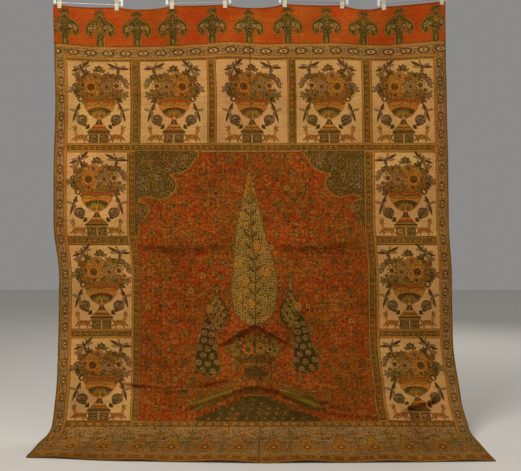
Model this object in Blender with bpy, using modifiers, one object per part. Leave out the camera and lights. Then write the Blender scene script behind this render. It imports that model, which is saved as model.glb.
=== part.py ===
# Kalamkari panel on clip hangers: a block-printed cotton hanging of two loom widths with a
# band sewn along its top, pinched by eight clips, its lower end swept forward onto the floor.
# Metres, +Z up. The origin is on the line where a rail carries the hooks, above the middle of
# the top edge. The printed face looks along -Y.

import math

import bmesh
import bpy
from mathutils import Matrix

# Driving sizes of the cloth
PANEL_HALF_WIDTH = 1.0
PANEL_LENGTH = 2.60
BAND_DEPTH = 0.188
CLOTH_THICKNESS = 0.0015
FIT_GAP = 0.0003

# Driving sizes of a hanger, measured from its rod
ROD_BELOW_RAIL = 0.133
ROD_RADIUS = 0.002
EDGE_BELOW_ROD = 0.011
LUG_BEYOND_CLIP = 0.025
LUG_WIDTH = 0.012
FRAME_THICKNESS = 0.008
NECK_HEIGHT = 0.062
HOOK_WIRE_RADIUS = 0.0019
HOOK_INNER_RADIUS = 0.019
HOOK_TURNS = {"from": -66, "to": 204, "step": 18}
CLIP_WIDTH = 0.020

# Each hanger: where its middle is, how far its rod sits above the lowest one, how many degrees
# its right end is up, and how far apart its clips are.
HANGERS = (
    {"name": "hanger_1", "x": -0.8175, "rise": 0.000, "right_up_deg": -2.3, "spread": 0.291},
    {"name": "hanger_2", "x": -0.2580, "rise": 0.005, "right_up_deg": 1.2, "spread": 0.270},
    {"name": "hanger_3", "x": 0.3260, "rise": 0.008, "right_up_deg": -1.3, "spread": 0.291},
    {"name": "hanger_4", "x": 0.8290, "rise": 0.010, "right_up_deg": 5.2, "spread": 0.295},
)
# How far the top edge sags in the span after each clip, from the left
EDGE_SAGS = (0.008, 0.019, 0.003, 0.023, 0.005, 0.021, 0.002)
SAG_FADES_OVER = 0.10
BULGE_SHARE = 0.55
FLAT_BY_CLIP = 0.015
# The sides of the cloth hang this much higher than its middle
SIDE_LIFT = 0.022
LIFT_BEGINS_OVER = 0.5

# The hang in profile: how far the cloth leans out of the vertical at each run down it
SWEEP = (
    {"run": -0.20, "lean_deg": 0.0},
    {"run": 1.60, "lean_deg": 0.0},
    {"run": 1.76, "lean_deg": 12.0},
    {"run": 1.90, "lean_deg": 24.0},
    {"run": 2.04, "lean_deg": 34.0},
    {"run": 2.11, "lean_deg": 44.0},
    {"run": 2.17, "lean_deg": 62.0},
    {"run": 2.24, "lean_deg": 78.0},
    {"run": 2.32, "lean_deg": 86.0},
    {"run": 2.80, "lean_deg": 89.0},
)
SWEEP_STEP = 0.002

# Where the two side edges hang, as the cloth wanders to the right on its way down
SIDES = (
    {"run": -0.20, "left": -0.995, "right": 0.995},
    {"run": 0.02, "left": -0.995, "right": 0.995},
    {"run": 0.26, "left": -0.989, "right": 0.997},
    {"run": 0.47, "left": -0.984, "right": 1.002},
    {"run": 0.87, "left": -0.993, "right": 1.010},
    {"run": 1.10, "left": -0.993, "right": 1.012},
    {"run": 1.38, "left": -0.964, "right": 1.028},
    {"run": 1.69, "left": -0.968, "right": 1.032},
    {"run": 1.99, "left": -0.961, "right": 1.051},
    {"run": 2.15, "left": -0.957, "right": 1.066},
    {"run": 2.32, "left": -0.984, "right": 1.084},
    {"run": 2.80, "left": -0.996, "right": 1.094},
)

# How far the hem runs past the nominal length, across the cloth
HEM = (
    {"across": -1.0, "past": -0.043},
    {"across": -0.5, "past": 0.000},
    {"across": 0.0, "past": 0.015},
    {"across": 0.5, "past": 0.010},
    {"across": 1.0, "past": 0.003},
)

# Folds where the slack cloth slumps: each runs from its left foot over its crest to its right
# foot, stands out by height, and falls away softly above its line and sharply below it.
FOLDS = (
    {"name": "pouch under the tree", "left": (-0.22, 1.740), "crest": (-0.005, 1.610),
     "right": (0.22, 1.740), "height": 0.020, "above": 0.070, "below": 0.016, "bend": 1.0},
    {"name": "arch over the mound", "left": (-0.46, 2.090), "crest": (-0.005, 1.930),
     "right": (0.60, 2.110), "height": 0.022, "above": 0.050, "below": 0.015, "bend": 1.1},
    {"name": "low left ridge", "left": (-0.74, 1.905), "crest": (-0.42, 1.950),
     "right": (-0.10, 1.870), "height": 0.015, "above": 0.030, "below": 0.014, "bend": 1.5},
    {"name": "left border crease", "left": (-1.05, 1.850), "crest": (-0.86, 1.862),
     "right": (-0.70, 1.890), "height": 0.009, "above": 0.030, "below": 0.014, "bend": 1.3},
    {"name": "right border tuck", "left": (0.68, 2.045), "crest": (0.79, 2.030),
     "right": (0.90, 1.990), "height": 0.013, "above": 0.032, "below": 0.014, "bend": 1.3},
    {"name": "right strip crease", "left": (0.44, 1.870), "crest": (0.56, 1.888),
     "right": (0.70, 1.900), "height": 0.008, "above": 0.030, "below": 0.015, "bend": 1.3},
    {"name": "upper right ridge", "left": (0.00, 1.240), "crest": (0.45, 1.218),
     "right": (1.10, 1.205), "height": 0.009, "above": 0.060, "below": 0.040, "bend": 1.4},
    {"name": "waist swell", "left": (-1.10, 1.470), "crest": (-0.55, 1.430),
     "right": (0.00, 1.480), "height": 0.010, "above": 0.110, "below": 0.110, "bend": 1.6},
)
FOLD_FULL_SHARE = 0.55

# Where the mesh is close: rows down the cloth, and columns that band and cloth share
ROWS = (
    {"from": BAND_DEPTH, "to": 1.10, "step": 0.130},
    {"from": 1.10, "to": 1.32, "step": 0.040},
    {"from": 1.32, "to": 1.56, "step": 0.080},
    {"from": 1.56, "to": 2.13, "step": 0.022},
    {"from": 2.13, "to": 2.30, "step": 0.043},
)
LAST_ROW_RUN = 2.30
HEM_ROWS = 3
BAND_ROWS = 4
COLUMN_STEP = 0.072


def smooth(share):
    """0 to 1 with level ends."""
    share = min(max(share, 0.0), 1.0)
    return share * share * (3.0 - 2.0 * share)


def read(table, key, column, at):
    """A table's column at a place between its rows, eased from row to row."""
    for low, high in zip(table, table[1:]):
        if at <= high[key]:
            share = smooth((at - low[key]) / (high[key] - low[key]))
            return low[column] + (high[column] - low[column]) * share
    return table[-1][column]


def lean_at(run):
    for low, high in zip(SWEEP, SWEEP[1:]):
        if run <= high["run"]:
            share = (run - low["run"]) / (high["run"] - low["run"])
            return math.radians(low["lean_deg"] + (high["lean_deg"] - low["lean_deg"]) * share)
    return math.radians(SWEEP[-1]["lean_deg"])


def swept_profile():
    """(forward, drop) at every SWEEP_STEP down the cloth, added up along the leaning line."""
    first, last = SWEEP[0]["run"], SWEEP[-1]["run"]
    forward, drop = 0.0, first
    points = []
    for number in range(round((last - first) / SWEEP_STEP) + 1):
        points.append((forward, drop))
        lean = lean_at(first + (number + 0.5) * SWEEP_STEP)
        forward += math.sin(lean) * SWEEP_STEP
        drop += math.cos(lean) * SWEEP_STEP
    return points


PROFILE = swept_profile()


def profile_at(run):
    place = (run - SWEEP[0]["run"]) / SWEEP_STEP
    number = min(max(int(place), 0), len(PROFILE) - 2)
    share = place - number
    (forward, drop), (forward_next, drop_next) = PROFILE[number], PROFILE[number + 1]
    return forward + (forward_next - forward) * share, drop + (drop_next - drop) * share


def clip_places():
    """(x, height above the lowest rod) of each clip along the rods, from the left."""
    places = []
    for hanger in HANGERS:
        tilt = math.radians(hanger["right_up_deg"])
        for side in (-0.5, 0.5):
            out = side * hanger["spread"]
            places.append((hanger["x"] + out * math.cos(tilt), hanger["rise"] + out * math.sin(tilt)))
    return places


CLIPS = clip_places()


def span_at(x):
    """(height, sag, bulge share) of the top edge at x, between the clips on either side."""
    if x <= CLIPS[0][0]:
        return CLIPS[0][1], 0.0, 0.0
    for (x_left, z_left), (x_right, z_right), sag in zip(CLIPS, CLIPS[1:], EDGE_SAGS):
        if x <= x_right:
            span = x_right - x_left
            share = (x - x_left) / span
            inner = (x - x_left - FLAT_BY_CLIP) / (span - 2.0 * FLAT_BY_CLIP)
            bulge = math.sin(math.pi * min(max(inner, 0.0), 1.0)) ** 2
            return z_left + (z_right - z_left) * share, sag * 4.0 * share * (1.0 - share), sag * bulge
    return CLIPS[-1][1], 0.0, 0.0


def fold_height(across, run):
    """How far the folds lift the cloth off its plain hang at a place on it."""
    height = 0.0
    for fold in FOLDS:
        crest_across, crest_run = fold["crest"]
        foot_across, foot_run = fold["left"] if across < crest_across else fold["right"]
        share = (across - crest_across) / (foot_across - crest_across)
        if share >= 1.0:
            continue
        line = crest_run + (foot_run - crest_run) * share ** fold["bend"]
        reach = fold["above"] if run < line else fold["below"]
        ends = 1.0 - smooth((share - FOLD_FULL_SHARE) / (1.0 - FOLD_FULL_SHARE))
        height += fold["height"] * ends * math.exp(-(((run - line) / reach) ** 2))
    return height


def cloth_point(across, run):
    """The middle of the cloth's thickness at a place on the flat cloth: across from the centre
    seam, and run down from the top edge."""
    x_top = across * SIDES[0]["right"]
    edge_rise, sag, bulge = span_at(x_top)
    fade = math.exp(-run / SAG_FADES_OVER)
    lift = SIDE_LIFT * across * across
    begun = smooth(run / LIFT_BEGINS_OVER)
    rise = edge_rise + (lift - edge_rise) * begun - sag * fade
    hung = run - rise
    forward, drop = profile_at(hung)
    lean = lean_at(hung)
    left, right = read(SIDES, "run", "left", hung), read(SIDES, "run", "right", hung)
    x = left + (right - left) * (across + PANEL_HALF_WIDTH) / (2.0 * PANEL_HALF_WIDTH)
    proud = fold_height(across, run) + BULGE_SHARE * bulge * fade
    top = -ROD_BELOW_RAIL - EDGE_BELOW_ROD
    return (x, -forward - proud * math.cos(lean), top - drop + proud * math.sin(lean))


def stepped(zones):
    """The line positions of a table of zones, each cut into equal steps."""
    lines = [zones[0]["from"]]
    for zone in zones:
        reach = zone["to"] - zone["from"]
        count = max(1, round(reach / zone["step"]))
        lines += [zone["from"] + reach * (number + 1) / count for number in range(count)]
    return lines


def sheet_object(name, across_lines, run_at, row_count, material, collection):
    """A cloth piece: a grid laid on the hang, with the cloth's thickness put on by Solidify.
    run_at gives the run of a row at a place across."""
    cells_across = len(across_lines) - 1
    mesh_builder = bmesh.new()
    bmesh.ops.create_grid(mesh_builder, x_segments=cells_across, y_segments=row_count, size=1.0)
    for vertex in mesh_builder.verts:
        column = round((vertex.co.x + 1.0) / 2.0 * cells_across)
        row = round((1.0 - vertex.co.y) / 2.0 * row_count)
        across = across_lines[column]
        vertex.co = cloth_point(across, run_at(across, row))
    mesh = bpy.data.meshes.new(name)
    mesh_builder.to_mesh(mesh)
    mesh_builder.free()
    mesh.shade_smooth()
    cloth = bpy.data.objects.new(name, mesh)
    mesh.materials.append(material)
    collection.objects.link(cloth)
    thicken = cloth.modifiers.new("cloth thickness", "SOLIDIFY")
    thicken.thickness = CLOTH_THICKNESS
    thicken.offset = 0.0
    return cloth


def main_run(across, row):
    """The run of a main cloth row: fixed rows down to the floor, then stretched to the hem."""
    if row < len(MAIN_ROWS):
        return MAIN_ROWS[row]
    share = (row - len(MAIN_ROWS) + 1) / HEM_ROWS
    hem = PANEL_LENGTH + read(HEM, "across", "past", across)
    return LAST_ROW_RUN + (hem - LAST_ROW_RUN) * share


def band_run(across, row):
    return (BAND_DEPTH - FIT_GAP) * row / BAND_ROWS


def column_lines():
    """Columns across the cloth: an even spacing, and one at each side of every clip's jaws."""
    beside = CLIP_WIDTH / 2.0 + 0.002
    scale = SIDES[0]["right"]
    edges = [(x + side * beside) / scale for x, _ in CLIPS for side in (-1, 1)]
    half_count = round(PANEL_HALF_WIDTH / COLUMN_STEP)
    even = [PANEL_HALF_WIDTH * number / half_count for number in range(-half_count, half_count + 1)]
    clear = COLUMN_STEP / 3.0
    kept = [line for line in even[1:-1] if all(abs(line - edge) > clear for edge in edges)]
    return sorted([even[0], even[-1], *kept, *edges])


MAIN_ROWS = stepped(ROWS)


def finish(name, color, roughness, metallic=0.0, alpha=1.0):
    material = bpy.data.materials.new(name)
    material.use_nodes = True
    surface = material.node_tree.nodes["Principled BSDF"]
    surface.inputs["Base Color"].default_value = (*color, 1.0)
    surface.inputs["Roughness"].default_value = roughness
    surface.inputs["Metallic"].default_value = metallic
    surface.inputs["Alpha"].default_value = alpha
    return material


def curve_object(name, dimensions, splines, material, parent, collection):
    """A curve of straight-segment splines; each is (points, closed)."""
    curve = bpy.data.curves.new(name, "CURVE")
    curve.dimensions = dimensions
    for points, closed in splines:
        spline = curve.splines.new("POLY")
        spline.points.add(len(points) - 1)
        for point, place in zip(spline.points, points):
            point.co = (*place, 1.0)
        spline.use_cyclic_u = closed
    curve.materials.append(material)
    made = bpy.data.objects.new(name, curve)
    made.parent = parent
    collection.objects.link(made)
    return made


def ring(radius, count):
    turns = [2.0 * math.pi * number / count for number in range(count)]
    return [(radius * math.cos(turn), radius * math.sin(turn), 0.0) for turn in turns]


def add_frame(hanger, material, parent, collection):
    """The clear moulding: two arms falling from the neck to a lug beyond each clip."""
    lug_in = hanger["spread"] / 2.0 + LUG_BEYOND_CLIP - LUG_WIDTH / 2.0
    lug_out = lug_in + LUG_WIDTH
    half = [
        (lug_in, -0.006), (lug_out, -0.006), (lug_out, 0.026), (lug_out - 0.010, 0.036),
        (0.030, 0.050), (0.010, 0.056), (0.008, NECK_HEIGHT),
    ]
    under = [(0.020, 0.038), (lug_in - 0.014, 0.024), (lug_in, 0.018)]
    right = [(x, z, 0.0) for x, z in under + half]
    left = [(-x, z, 0.0) for x, z in reversed(under + half)]
    frame = curve_object(hanger["name"] + "_frame", "2D", [(right + left, True)],
                         material, parent, collection)
    frame.data.fill_mode = "BOTH"
    frame.data.extrude = FRAME_THICKNESS / 2.0
    frame.rotation_euler = (math.radians(90.0), 0.0, 0.0)


def add_hook(hanger, material, parent, collection):
    """The swivel hook, turned so that its loop faces along the rail and rests on it."""
    wire = HOOK_INNER_RADIUS + HOOK_WIRE_RADIUS
    loop = ROD_BELOW_RAIL - hanger["rise"] - HOOK_INNER_RADIUS
    path = [(0.0, 0.0, NECK_HEIGHT + FIT_GAP), (0.0, 0.0, NECK_HEIGHT + 0.010),
            (0.0, 0.002, NECK_HEIGHT + 0.020)]
    for turn in range(HOOK_TURNS["from"], HOOK_TURNS["to"] + 1, HOOK_TURNS["step"]):
        angle = math.radians(turn)
        path.append((0.0, wire * math.cos(angle), loop + wire * math.sin(angle)))
    hook = curve_object(hanger["name"] + "_hook", "3D", [(path, False)],
                        material, parent, collection)
    hook.data.bevel_depth = HOOK_WIRE_RADIUS
    hook.data.bevel_resolution = 2
    hook.data.use_fill_caps = True


def add_rod(hanger, material, parent, collection):
    between = hanger["spread"] + 2.0 * LUG_BEYOND_CLIP - LUG_WIDTH - 2.0 * FIT_GAP
    bpy.ops.mesh.primitive_cylinder_add(vertices=12, radius=ROD_RADIUS, depth=between)
    rod = bpy.context.object
    rod.name = hanger["name"] + "_rod"
    rod.data.name = rod.name
    rod.rotation_euler = (0.0, math.radians(90.0), 0.0)
    rod.parent = parent
    rod.data.materials.append(material)
    for holder in list(rod.users_collection):
        holder.objects.unlink(rod)
    collection.objects.link(rod)


def add_clip(hanger, side, material, parent, collection):
    """A pinch clip seen from its end: grips at the top, a ring round the rod, and two leaves
    that close on the cloth below. Its outline is in (y, z) about the rod."""
    jaw = CLOTH_THICKNESS / 2.0 + FIT_GAP
    front = [
        (-0.0100, 0.0245), (-0.0122, 0.0235), (-0.0050, 0.0030), (-0.0056, -0.0040),
        (-0.0042, -0.0200), (-0.0036, -0.0285), (-jaw, -0.0285), (-jaw, -0.0125),
        (-0.0025, -0.0065),
    ]
    outline = [(0.0, 0.0060), *front, (0.0, -0.0052)]
    outline += [(-y, z) for y, z in reversed(front)]
    hole = ring(ROD_RADIUS + FIT_GAP, 12)
    splines = [([(y, z, 0.0) for y, z in outline], True), (hole, True)]
    name = f"{hanger['name']}_clip_{'left' if side < 0 else 'right'}"
    clip = curve_object(name, "2D", splines, material, parent, collection)
    clip.data.fill_mode = "BOTH"
    clip.data.extrude = CLIP_WIDTH / 2.0
    turn = Matrix(((0.0, 0.0, 1.0), (1.0, 0.0, 0.0), (0.0, 1.0, 0.0)))
    clip.rotation_euler = turn.to_euler()
    clip.location = (side * hanger["spread"] / 2.0, 0.0, 0.0)


def add_hanger(hanger, finishes, collection):
    seat = bpy.data.objects.new(hanger["name"], None)
    seat.location = (hanger["x"], 0.0, hanger["rise"] - ROD_BELOW_RAIL)
    seat.rotation_euler = (0.0, -math.radians(hanger["right_up_deg"]), 0.0)
    collection.objects.link(seat)
    add_frame(hanger, finishes["clear"], seat, collection)
    add_hook(hanger, finishes["wire"], seat, collection)
    add_rod(hanger, finishes["wire"], seat, collection)
    for side in (-1, 1):
        add_clip(hanger, side, finishes["clip"], seat, collection)


def add_cloth(collection):
    """The two loom widths, which meet at the centre seam, and the band along their top."""
    printed = finish("printed_cotton", (0.36, 0.17, 0.06), 0.9)
    band = finish("band_cotton", (0.50, 0.10, 0.02), 0.9)
    lines = column_lines()
    row_count = len(MAIN_ROWS) - 1 + HEM_ROWS
    left = [line for line in lines if line < -FIT_GAP] + [-FIT_GAP / 2.0]
    right = [FIT_GAP / 2.0] + [line for line in lines if line > FIT_GAP]
    sheet_object("cloth_left", left, main_run, row_count, printed, collection)
    sheet_object("cloth_right", right, main_run, row_count, printed, collection)
    sheet_object("top_band", lines, band_run, BAND_ROWS, band, collection)


def main():
    for thing in list(bpy.data.objects):
        bpy.data.objects.remove(thing)
    collection = bpy.data.collections.new("kalamkari_panel")
    bpy.context.scene.collection.children.link(collection)
    add_cloth(collection)
    finishes = {
        "clear": finish("clear_plastic", (0.80, 0.88, 0.90), 0.12, alpha=0.45),
        "wire": finish("bright_wire", (0.75, 0.75, 0.77), 0.25, metallic=1.0),
        "clip": finish("clip_plastic", (0.78, 0.75, 0.68), 0.35),
    }
    for hanger in HANGERS:
        add_hanger(hanger, finishes, collection)


main()
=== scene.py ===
import math
import random
from functools import partial

import bmesh
import bpy
import numpy as np
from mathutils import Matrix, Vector


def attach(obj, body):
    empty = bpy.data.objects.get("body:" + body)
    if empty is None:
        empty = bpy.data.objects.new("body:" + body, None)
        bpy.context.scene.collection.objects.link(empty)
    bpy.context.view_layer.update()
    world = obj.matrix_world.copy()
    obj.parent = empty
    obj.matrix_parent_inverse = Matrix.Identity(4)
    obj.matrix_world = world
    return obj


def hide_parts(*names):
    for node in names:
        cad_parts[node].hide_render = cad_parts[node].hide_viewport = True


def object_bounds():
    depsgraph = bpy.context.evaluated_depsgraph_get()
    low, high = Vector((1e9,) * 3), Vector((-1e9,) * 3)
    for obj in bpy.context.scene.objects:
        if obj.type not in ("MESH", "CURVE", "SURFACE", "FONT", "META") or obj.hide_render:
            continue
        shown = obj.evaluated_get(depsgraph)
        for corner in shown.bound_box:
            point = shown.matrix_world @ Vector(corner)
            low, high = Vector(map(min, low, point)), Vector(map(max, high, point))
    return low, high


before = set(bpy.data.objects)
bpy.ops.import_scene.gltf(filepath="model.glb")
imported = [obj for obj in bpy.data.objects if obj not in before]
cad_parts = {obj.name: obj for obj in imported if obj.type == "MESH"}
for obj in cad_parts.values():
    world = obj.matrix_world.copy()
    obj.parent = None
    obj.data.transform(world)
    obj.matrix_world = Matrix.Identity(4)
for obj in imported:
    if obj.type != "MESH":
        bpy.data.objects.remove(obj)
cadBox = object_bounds()


# A table with named columns, as one dictionary for each of its rows
def tableOf(columns, *values):
    return [dict(zip(columns.split(), row)) for row in values]


# Sizes are metres on the cloth, and millimetres inside a motif. "across" runs from -1 at the
# left edge to 1 at the right, "run" goes down the cloth from its top edge.
cloth = {
    "halfWidth": 1.0,
    "length": 2.60,
    "bandDepth": 0.188,
    "seamGap": 0.0003,
    "cell": 0.005,           # mesh size of the printed widths
    "bandCell": 0.004,
    "printPast": 0.018,      # the print runs on past the length, and is drawn in to the hem
    "drawnInFrom": 2.30,
}
clothEnd = cloth["length"] + cloth["printPast"]
seams = {
    "dip": 0.0022,
    "dipReach": 0.005,
    "hemWidth": 0.007,
    "hemThick": 0.0011,
    "hemPast": 0.0004,       # how far a hem wraps past the cut edge
    "thread": 0.00045,
    "slip": 0.0006,          # how uneven the stitches are
    "sunk": 0.0006,
    "proud": 0.0009,
    "seamPitch": 0.0075,
    "hemPitch": 0.008,
}
hang = {
    "rodBelowRail": 0.133,
    "edgeBelowRod": 0.011,
    "edgeSags": (0.008, 0.019, 0.003, 0.023, 0.005, 0.021, 0.002),
    "sagFadesOver": 0.10,
    "bulgeShare": 0.55,
    "flatByClip": 0.015,
    "sideLift": 0.022,
    "liftBeginsOver": 0.5,
    "hemLiftFrom": 2.38,
    "hemLiftOver": 0.20,
    "foldFullShare": 0.55,   # a fold keeps its full height this far from crest to foot
}
hangers = tableOf("x rise rightUpDeg spread",
    (-0.8175, 0.000, -2.3, 0.291), (-0.2580, 0.005, 1.2, 0.270), (0.3260, 0.008, -1.3, 0.291),
    (0.8290, 0.010, 5.2, 0.295))
sweep = tableOf("run lean",
    (-0.20, 0.0), (1.60, 0.0), (1.76, 12.0), (1.90, 24.0), (2.04, 34.0), (2.11, 44.0), (2.17, 62.0),
    (2.24, 78.0), (2.32, 86.0), (2.80, 89.0))
sides = tableOf("run left right",
    (-0.20, -0.995, 0.995), (0.02, -0.995, 0.995), (0.26, -0.989, 0.997), (0.47, -0.984, 1.002),
    (0.87, -0.993, 1.010), (1.10, -0.993, 1.012), (1.38, -0.964, 1.028), (1.69, -0.968, 1.032),
    (1.99, -0.961, 1.051), (2.15, -0.957, 1.066), (2.32, -0.984, 1.084), (2.80, -0.996, 1.094))
hem = tableOf("across past",
    (-1.0, -0.058), (-0.5, -0.008), (0.0, 0.015), (0.5, 0.010), (1.0, 0.003))
# How far the hem stands off the floor in soft waves
hemLifts = tableOf("across lift",
    (-1.00, 0.000), (-0.86, 0.006), (-0.70, 0.001), (-0.52, 0.008), (-0.36, 0.001), (-0.14, 0.011),
    (0.03, 0.000), (0.20, 0.011), (0.38, 0.001), (0.55, 0.008), (0.72, 0.000), (0.88, 0.006), (1.00, 0.000))
# Each fold runs from its left foot over its crest to its right foot, and falls away by reach
# above and below that line. Those of negative height are creases pressed in.
folds = tableOf("left crest right height above below bend",
    ((-0.22, 1.740), (-0.005, 1.610), (0.22, 1.740), 0.030, 0.085, 0.014, 1.0),
    ((-0.46, 2.090), (-0.005, 1.930), (0.60, 2.110), 0.028, 0.055, 0.014, 1.1),
    ((-0.74, 1.905), (-0.42, 1.950), (-0.10, 1.870), 0.020, 0.034, 0.013, 1.5),
    ((-1.05, 1.850), (-0.86, 1.862), (-0.70, 1.890), 0.009, 0.030, 0.014, 1.3),
    ((0.68, 2.078), (0.77, 2.050), (0.93, 1.990), 0.036, 0.040, 0.010, 1.2),
    ((0.04, 1.945), (0.38, 2.082), (0.68, 2.118), 0.020, 0.036, 0.010, 1.0),
    ((0.44, 1.870), (0.56, 1.888), (0.70, 1.900), 0.008, 0.030, 0.015, 1.3),
    ((0.00, 1.240), (0.45, 1.218), (1.10, 1.205), 0.009, 0.060, 0.040, 1.4),
    ((-1.10, 1.470), (-0.55, 1.430), (0.00, 1.480), 0.010, 0.110, 0.110, 1.6),
    ((-0.62, 1.200), (-0.36, 1.225), (-0.10, 1.190), 0.022, 0.080, 0.028, 1.3),
    ((0.06, 1.190), (0.30, 1.215), (0.56, 1.180), 0.022, 0.080, 0.028, 1.3))
creases = tableOf("left crest right height above below bend",
    ((-0.76, 1.925), (-0.46, 1.952), (-0.10, 1.920), -0.013, 0.007, 0.009, 1.0),
    ((-0.78, 1.800), (-0.69, 1.838), (-0.58, 1.892), -0.009, 0.007, 0.008, 1.0),
    ((-0.74, 1.905), (-0.66, 1.932), (-0.56, 1.956), -0.009, 0.007, 0.008, 1.0),
    ((-0.42, 1.920), (-0.26, 1.925), (-0.08, 1.900), -0.009, 0.006, 0.008, 1.0),
    ((-0.40, 2.085), (-0.19, 1.995), (-0.01, 1.935), -0.008, 0.005, 0.007, 1.0),
    ((-0.12, 1.905), (0.00, 1.885), (0.10, 1.905), -0.005, 0.005, 0.006, 1.0))

# Dyes: their colour, the colour they turn to in slow patches, and how much of the ground shows
# through where the dye is thin
dyes = {
    "buff": {"color": (0.540, 0.285, 0.092), "patch": (0.490, 0.242, 0.074), "thin": 0.0},
    "madder": {"color": (0.300, 0.019, 0.001), "patch": (0.230, 0.050, 0.004), "thin": 0.12},
    "orange": {"color": (0.338, 0.030, 0.001), "patch": (0.345, 0.058, 0.003), "thin": 0.10},
    "marigold": {"color": (0.480, 0.122, 0.008), "patch": (0.450, 0.160, 0.016), "thin": 0.12},
    "gold": {"color": (0.360, 0.150, 0.014), "patch": (0.350, 0.120, 0.010), "thin": 0.20},
    "quince": {"color": (0.290, 0.172, 0.011), "patch": (0.250, 0.125, 0.008), "thin": 0.15},
    "olive": {"color": (0.150, 0.080, 0.006), "patch": (0.160, 0.070, 0.006), "thin": 0.18},
    "leaf": {"color": (0.034, 0.024, 0.002), "patch": (0.046, 0.025, 0.003), "thin": 0.06},
    "mauve": {"color": (0.235, 0.125, 0.062), "patch": (0.250, 0.140, 0.055), "thin": 0.18},
    "brown": {"color": (0.055, 0.021, 0.004), "patch": (0.070, 0.022, 0.003), "thin": 0.12},
}
line = {"color": (0.045, 0.019, 0.002), "half": 0.8, "soft": 1.0}
# How far the print's level lines sag below the cloth's own, at the foot of the band
droops = tableOf("across drop",
    (-1.000, 0.010), (-0.885, 0.015), (-0.783, 0.022), (-0.661, 0.020), (-0.479, 0.020), (-0.372, 0.018),
    (-0.276, 0.012), (-0.088, 0.001), (0.105, 0.014), (0.308, 0.010), (0.460, 0.006), (0.613, 0.011),
    (0.714, 0.013), (0.917, 0.008), (1.000, 0.006))
droopFadesOver = 0.14
farOff = 24.0


def smooth(share):
    share = np.clip(share, 0.0, 1.0)
    return share * share * (3.0 - 2.0 * share)


# A table's column at places between its rows, eased from row to row
def easedTable(table, key, column, at):
    places = np.array([row[key] for row in table])
    values = np.array([row[column] for row in table])
    number = np.clip(np.searchsorted(places, at, side="left") - 1, 0, len(places) - 2)
    share = smooth((at - places[number]) / (places[number + 1] - places[number]))
    return values[number] + (values[number + 1] - values[number]) * share


def sweptProfile(step=0.002):
    runs = np.arange(sweep[0]["run"], sweep[-1]["run"] + step / 2, step)
    leanRuns = [row["run"] for row in sweep]
    leans = [math.radians(row["lean"]) for row in sweep]
    lean = np.interp(runs[:-1] + step / 2, leanRuns, leans)
    forward = np.concatenate(([0.0], np.cumsum(np.sin(lean) * step)))
    drop = sweep[0]["run"] + np.concatenate(([0.0], np.cumsum(np.cos(lean) * step)))
    return {"runs": runs, "forward": forward, "drop": drop, "leanRuns": leanRuns, "leans": leans}


profile = sweptProfile()


def clipPlaces():
    places = []
    for hanger in hangers:
        tilt = math.radians(hanger["rightUpDeg"])
        for side in (-0.5, 0.5):
            out = side * hanger["spread"]
            places.append((hanger["x"] + out * math.cos(tilt), hanger["rise"] + out * math.sin(tilt)))
    return np.array(places)


clips = clipPlaces()


# (height, sag, bulge) of the top edge at x
def topEdge(x):
    height = np.interp(x, clips[:, 0], clips[:, 1])
    number = np.clip(np.searchsorted(clips[:, 0], x) - 1, 0, len(clips) - 2)
    span = clips[number + 1, 0] - clips[number, 0]
    share = np.clip((x - clips[number, 0]) / span, 0.0, 1.0)
    sag = np.array(hang["edgeSags"])[number]
    inner = (x - clips[number, 0] - hang["flatByClip"]) / (span - 2.0 * hang["flatByClip"])
    bulge = np.sin(np.pi * np.clip(inner, 0.0, 1.0)) ** 2
    return height, sag * 4.0 * share * (1.0 - share), sag * bulge


def foldHeight(across, run):
    height = np.zeros(np.broadcast(across, run).shape)
    for fold in folds + creases:
        crestAcross, crestRun = fold["crest"]
        onLeft = across < crestAcross
        footAcross = np.where(onLeft, fold["left"][0], fold["right"][0])
        footRun = np.where(onLeft, fold["left"][1], fold["right"][1])
        share = np.clip((across - crestAcross) / (footAcross - crestAcross), 0.0, 1.0)
        ridge = crestRun + (footRun - crestRun) * share ** fold["bend"]
        reach = np.where(run < ridge, fold["above"], fold["below"])
        full = hang["foldFullShare"]
        ends = 1.0 - smooth((share - full) / (1.0 - full))
        height = height + fold["height"] * ends * np.exp(-(((run - ridge) / reach) ** 2))
    return height


# Places on the hung cloth, as an array of (x, y, z)
def clothPoint(across, run, proud=0.0):
    xTop = across * sides[0]["right"]
    edgeRise, sag, bulge = topEdge(xTop)
    fade = np.exp(-run / hang["sagFadesOver"])
    lift = hang["sideLift"] * across * across
    begun = smooth(run / hang["liftBeginsOver"])
    hung = run - (edgeRise + (lift - edgeRise) * begun - sag * fade)
    forward = np.interp(hung, profile["runs"], profile["forward"])
    drop = np.interp(hung, profile["runs"], profile["drop"])
    lean = np.interp(hung, profile["leanRuns"], profile["leans"])
    left = easedTable(sides, "run", "left", hung)
    right = easedTable(sides, "run", "right", hung)
    x = left + (right - left) * (across + 1.0) / 2.0
    begun = smooth((run - hang["hemLiftFrom"]) / hang["hemLiftOver"])
    wave = easedTable(hemLifts, "across", "lift", across) * begun
    out = foldHeight(across, run) + hang["bulgeShare"] * bulge * fade + wave + proud
    top = -hang["rodBelowRail"] - hang["edgeBelowRod"]
    return np.stack((x, -forward - out * np.cos(lean), top - drop + out * np.sin(lean)), axis=-1)


# Shapes that a block prints. Each is a distance to its outline, in millimetres and negative
# inside, and how far it reaches from its middle. They stand on their own +y.
def disc(wide, tall=None):
    tall = tall or wide
    return lambda x, y: (np.hypot(x / wide, y / tall) - 1.0) * min(wide, tall), max(wide, tall)


def block(wide, tall):
    return lambda x, y: np.maximum(np.abs(x) - wide, np.abs(y) - tall), math.hypot(wide, tall)


# A leaf or petal pointed at both ends, from its foot to its tip
def blade(length, width):
    radius = ((length / 2) ** 2 + (width / 2) ** 2) / width
    shift = radius - width / 2
    return lambda x, y: np.hypot(np.abs(x) + shift, y - length / 2) - radius, length


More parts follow.
